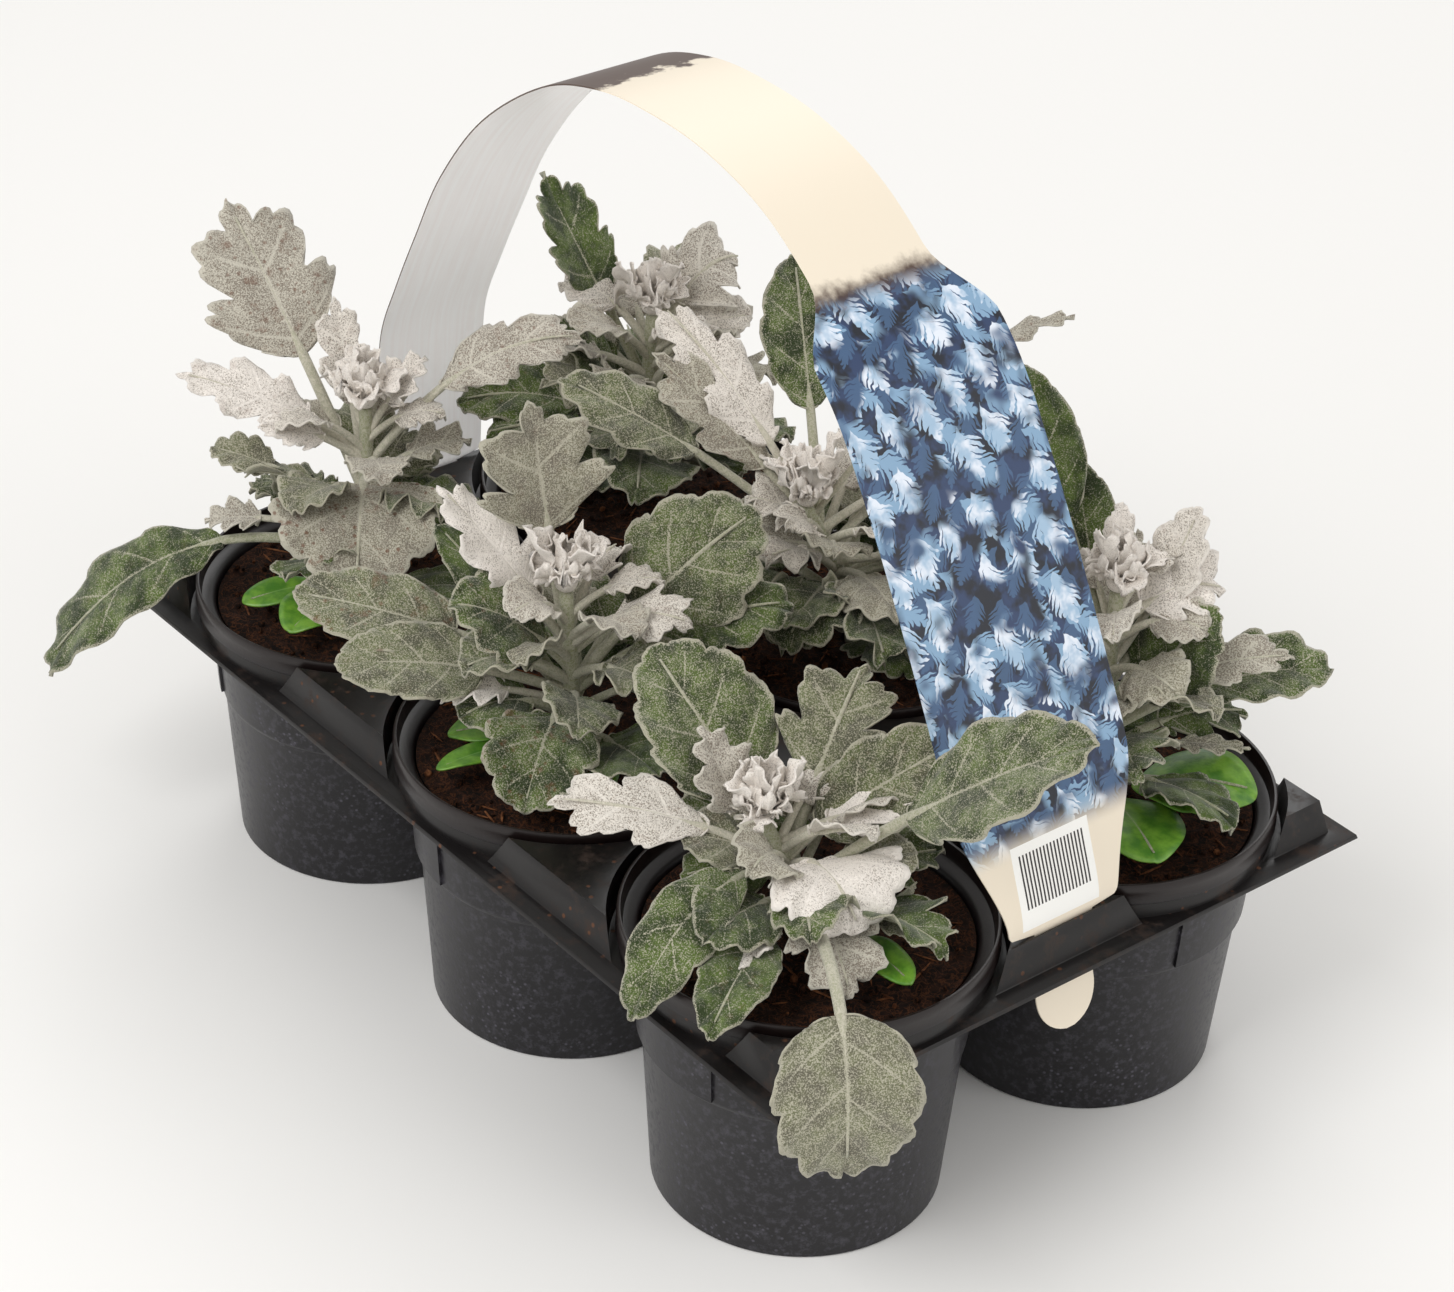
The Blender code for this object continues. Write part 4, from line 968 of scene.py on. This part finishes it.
# Handle strip: arch points as x and z in mm, and half widths across
stripDesign = dict(thick=0.45, half=20.5, label=33.0, tongue=11.0, shoulder=90.3, labelTop=254.0,
                   ease=16.0, footStart=90.0, footEase=42.0, corner=3.0, tip=57.0, steps=8, columns=12,
                   arch=[
    (-162, 57), (-159, 66), (-155.6, 78), (-155, 90), (-154.5, 105), (-154, 125), (-152, 148),
    (-143, 169), (-132, 191), (-118, 217), (-96, 244), (-66, 266), (-40, 275), (-16, 277), (10, 275),
    (36, 267), (59, 252), (83, 231), (100, 206), (114, 182), (128, 156), (141, 130), (149, 110),
    (154, 97), (155, 90), (155.6, 78), (159, 66), (162, 57)])


# A smooth curve through the arch points, by a cubic between each two of them
def archLine():
    d = stripDesign
    points = np.array(d["arch"], dtype=float)
    padded = withEnds(points)
    line = []
    for i in range(len(points) - 1):
        a, b, c, e = padded[i:i + 4]
        for f in np.arange(d["steps"]) / d["steps"]:
            line.append(0.5 * (2 * b + (c - a) * f + (2 * a - 5 * b + 4 * c - e) * f ** 2
                               + (3 * b - a - 3 * c + e) * f ** 3))
    return np.array(line + [points[-1]])


def stripHalf(x, z):
    d = stripDesign
    if z < d["shoulder"]:
        rounded = min(1.0, (z - d["tip"]) / d["tongue"])
        return d["tongue"] * math.sqrt(max(0.02, 1 - (1 - rounded) ** 2))
    below = max(0.0, (d["shoulder"] + d["corner"] - z) / d["corner"])
    corner = d["corner"] * (1 - math.sqrt(max(0.0, 1 - below ** 2)))
    if x < 0:
        return d["half"] - corner
    label = d["half"] + (d["label"] - d["half"]) * float(eased((d["labelTop"] - z) / d["ease"]))
    foot = float(eased((z - d["footStart"]) / d["footEase"]))
    return d["half"] + (label - d["half"]) * foot - corner


archPoints = archLine()
archLengths = lineLengths(archPoints)


def lengthAt(x, z):
    return float(archLengths[np.argmin(np.hypot(archPoints[:, 0] - x, archPoints[:, 1] - z))])


# Where the print changes, as lengths along the strip: each by a point of the arch near it
stripLengths = dict(apex=lengthAt(-40, 275), field=lengthAt(60, 251), fieldEnd=lengthAt(147, 116),
                    panel=lengthAt(151, 104))


def buildHandle():
    d = stripDesign
    rows = len(archPoints) - 1
    strip = added(bpy.ops.mesh.primitive_grid_add, "carryStrip", x_subdivisions=rows,
                  y_subdivisions=d["columns"], size=2)
    grid = getCoords(strip)
    index = np.round((grid[:, 0] + 1) / 2 * rows).astype(int)
    halves = np.array([stripHalf(x, z) for x, z in archPoints])
    across = grid[:, 1] * halves[index]
    coords = np.stack((archPoints[index, 0], across, archPoints[index, 1]), axis=1) * mm
    setCoords(strip, coords + np.array(gridMiddle))
    setUv(strip, archLengths[index], across)
    paint(strip, printMaterial(), stripBackMaterial())
    applyModifier(strip, "SOLIDIFY", thickness=d["thick"] * mm, offset=0.0, material_offset=1,
                  material_offset_rim=0)
    strip.data.name = strip.name
    smooth(strip, 40)
    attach(strip, "root")
    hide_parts("handle")


print("handle")
buildHandle()


# Floor, lights and camera. Each light has its place and size in metres and its power in watts.
studio = dict(floor="#f4f3f1", sky="#f7f6f4", skyStrength=0.70,
              lights=dict(key=((0.1, -1.3, 1.5), 1.1, 17), fill=((1.5, 0.5, 0.9), 1.2, 6),
                          rim=((-1.0, 1.1, 1.3), 0.9, 6)))


def buildStudio():
    floor = added(bpy.ops.mesh.primitive_plane_add, "floor", size=8)
    paint(floor, finishMaterial(startMaterial("paleFloor")[0], studio["floor"], Roughness=0.9,
                                Specular_IOR_Level=0.1))
    world = bpy.data.worlds.new("studio")
    world.use_nodes = True
    background = world.node_tree.nodes["Background"]
    fill(background.inputs["Color"], studio["sky"])
    fill(background.inputs["Strength"], studio["skyStrength"])
    bpy.context.scene.world = world
    for name, (place, size, power) in studio["lights"].items():
        lamp = bpy.data.lights.new(name, "AREA")
        lamp.size = size
        lamp.energy = power
        lampObject = bpy.data.objects.new(name, lamp)
        lampObject.location = place
        aim = Vector((0, 0, 0.1)) - Vector(place)
        lampObject.rotation_euler = aim.to_track_quat("-Z", "Y").to_euler()
        bpy.context.scene.collection.objects.link(lampObject)


cameraDesign = dict(place=(0.73025, -0.59786, 0.71051), right=(0.63436, 0.77178, 0.04401),
                    up=(-0.43354, 0.30806, 0.84684), back=(0.64002, -0.55629, 0.53002), lens=92.03,
                    shiftX=-0.0441, shiftY=-0.0205)


def buildCamera():
    d = cameraDesign
    data = bpy.data.cameras.new("camera")
    data.sensor_width = 36
    data.lens = d["lens"]
    data.shift_x = d["shiftX"]
    data.shift_y = d["shiftY"]
    data.clip_start = 0.05
    camera = bpy.data.objects.new("camera", data)
    turn = Matrix((d["right"], d["up"], d["back"])).transposed()
    camera.matrix_world = Matrix.Translation(d["place"]) @ turn.to_4x4()
    bpy.context.scene.collection.objects.link(camera)
    bpy.context.scene.camera = camera


print("studio")
buildStudio()
buildCamera()
bpy.context.scene.view_settings.view_transform = "Standard"
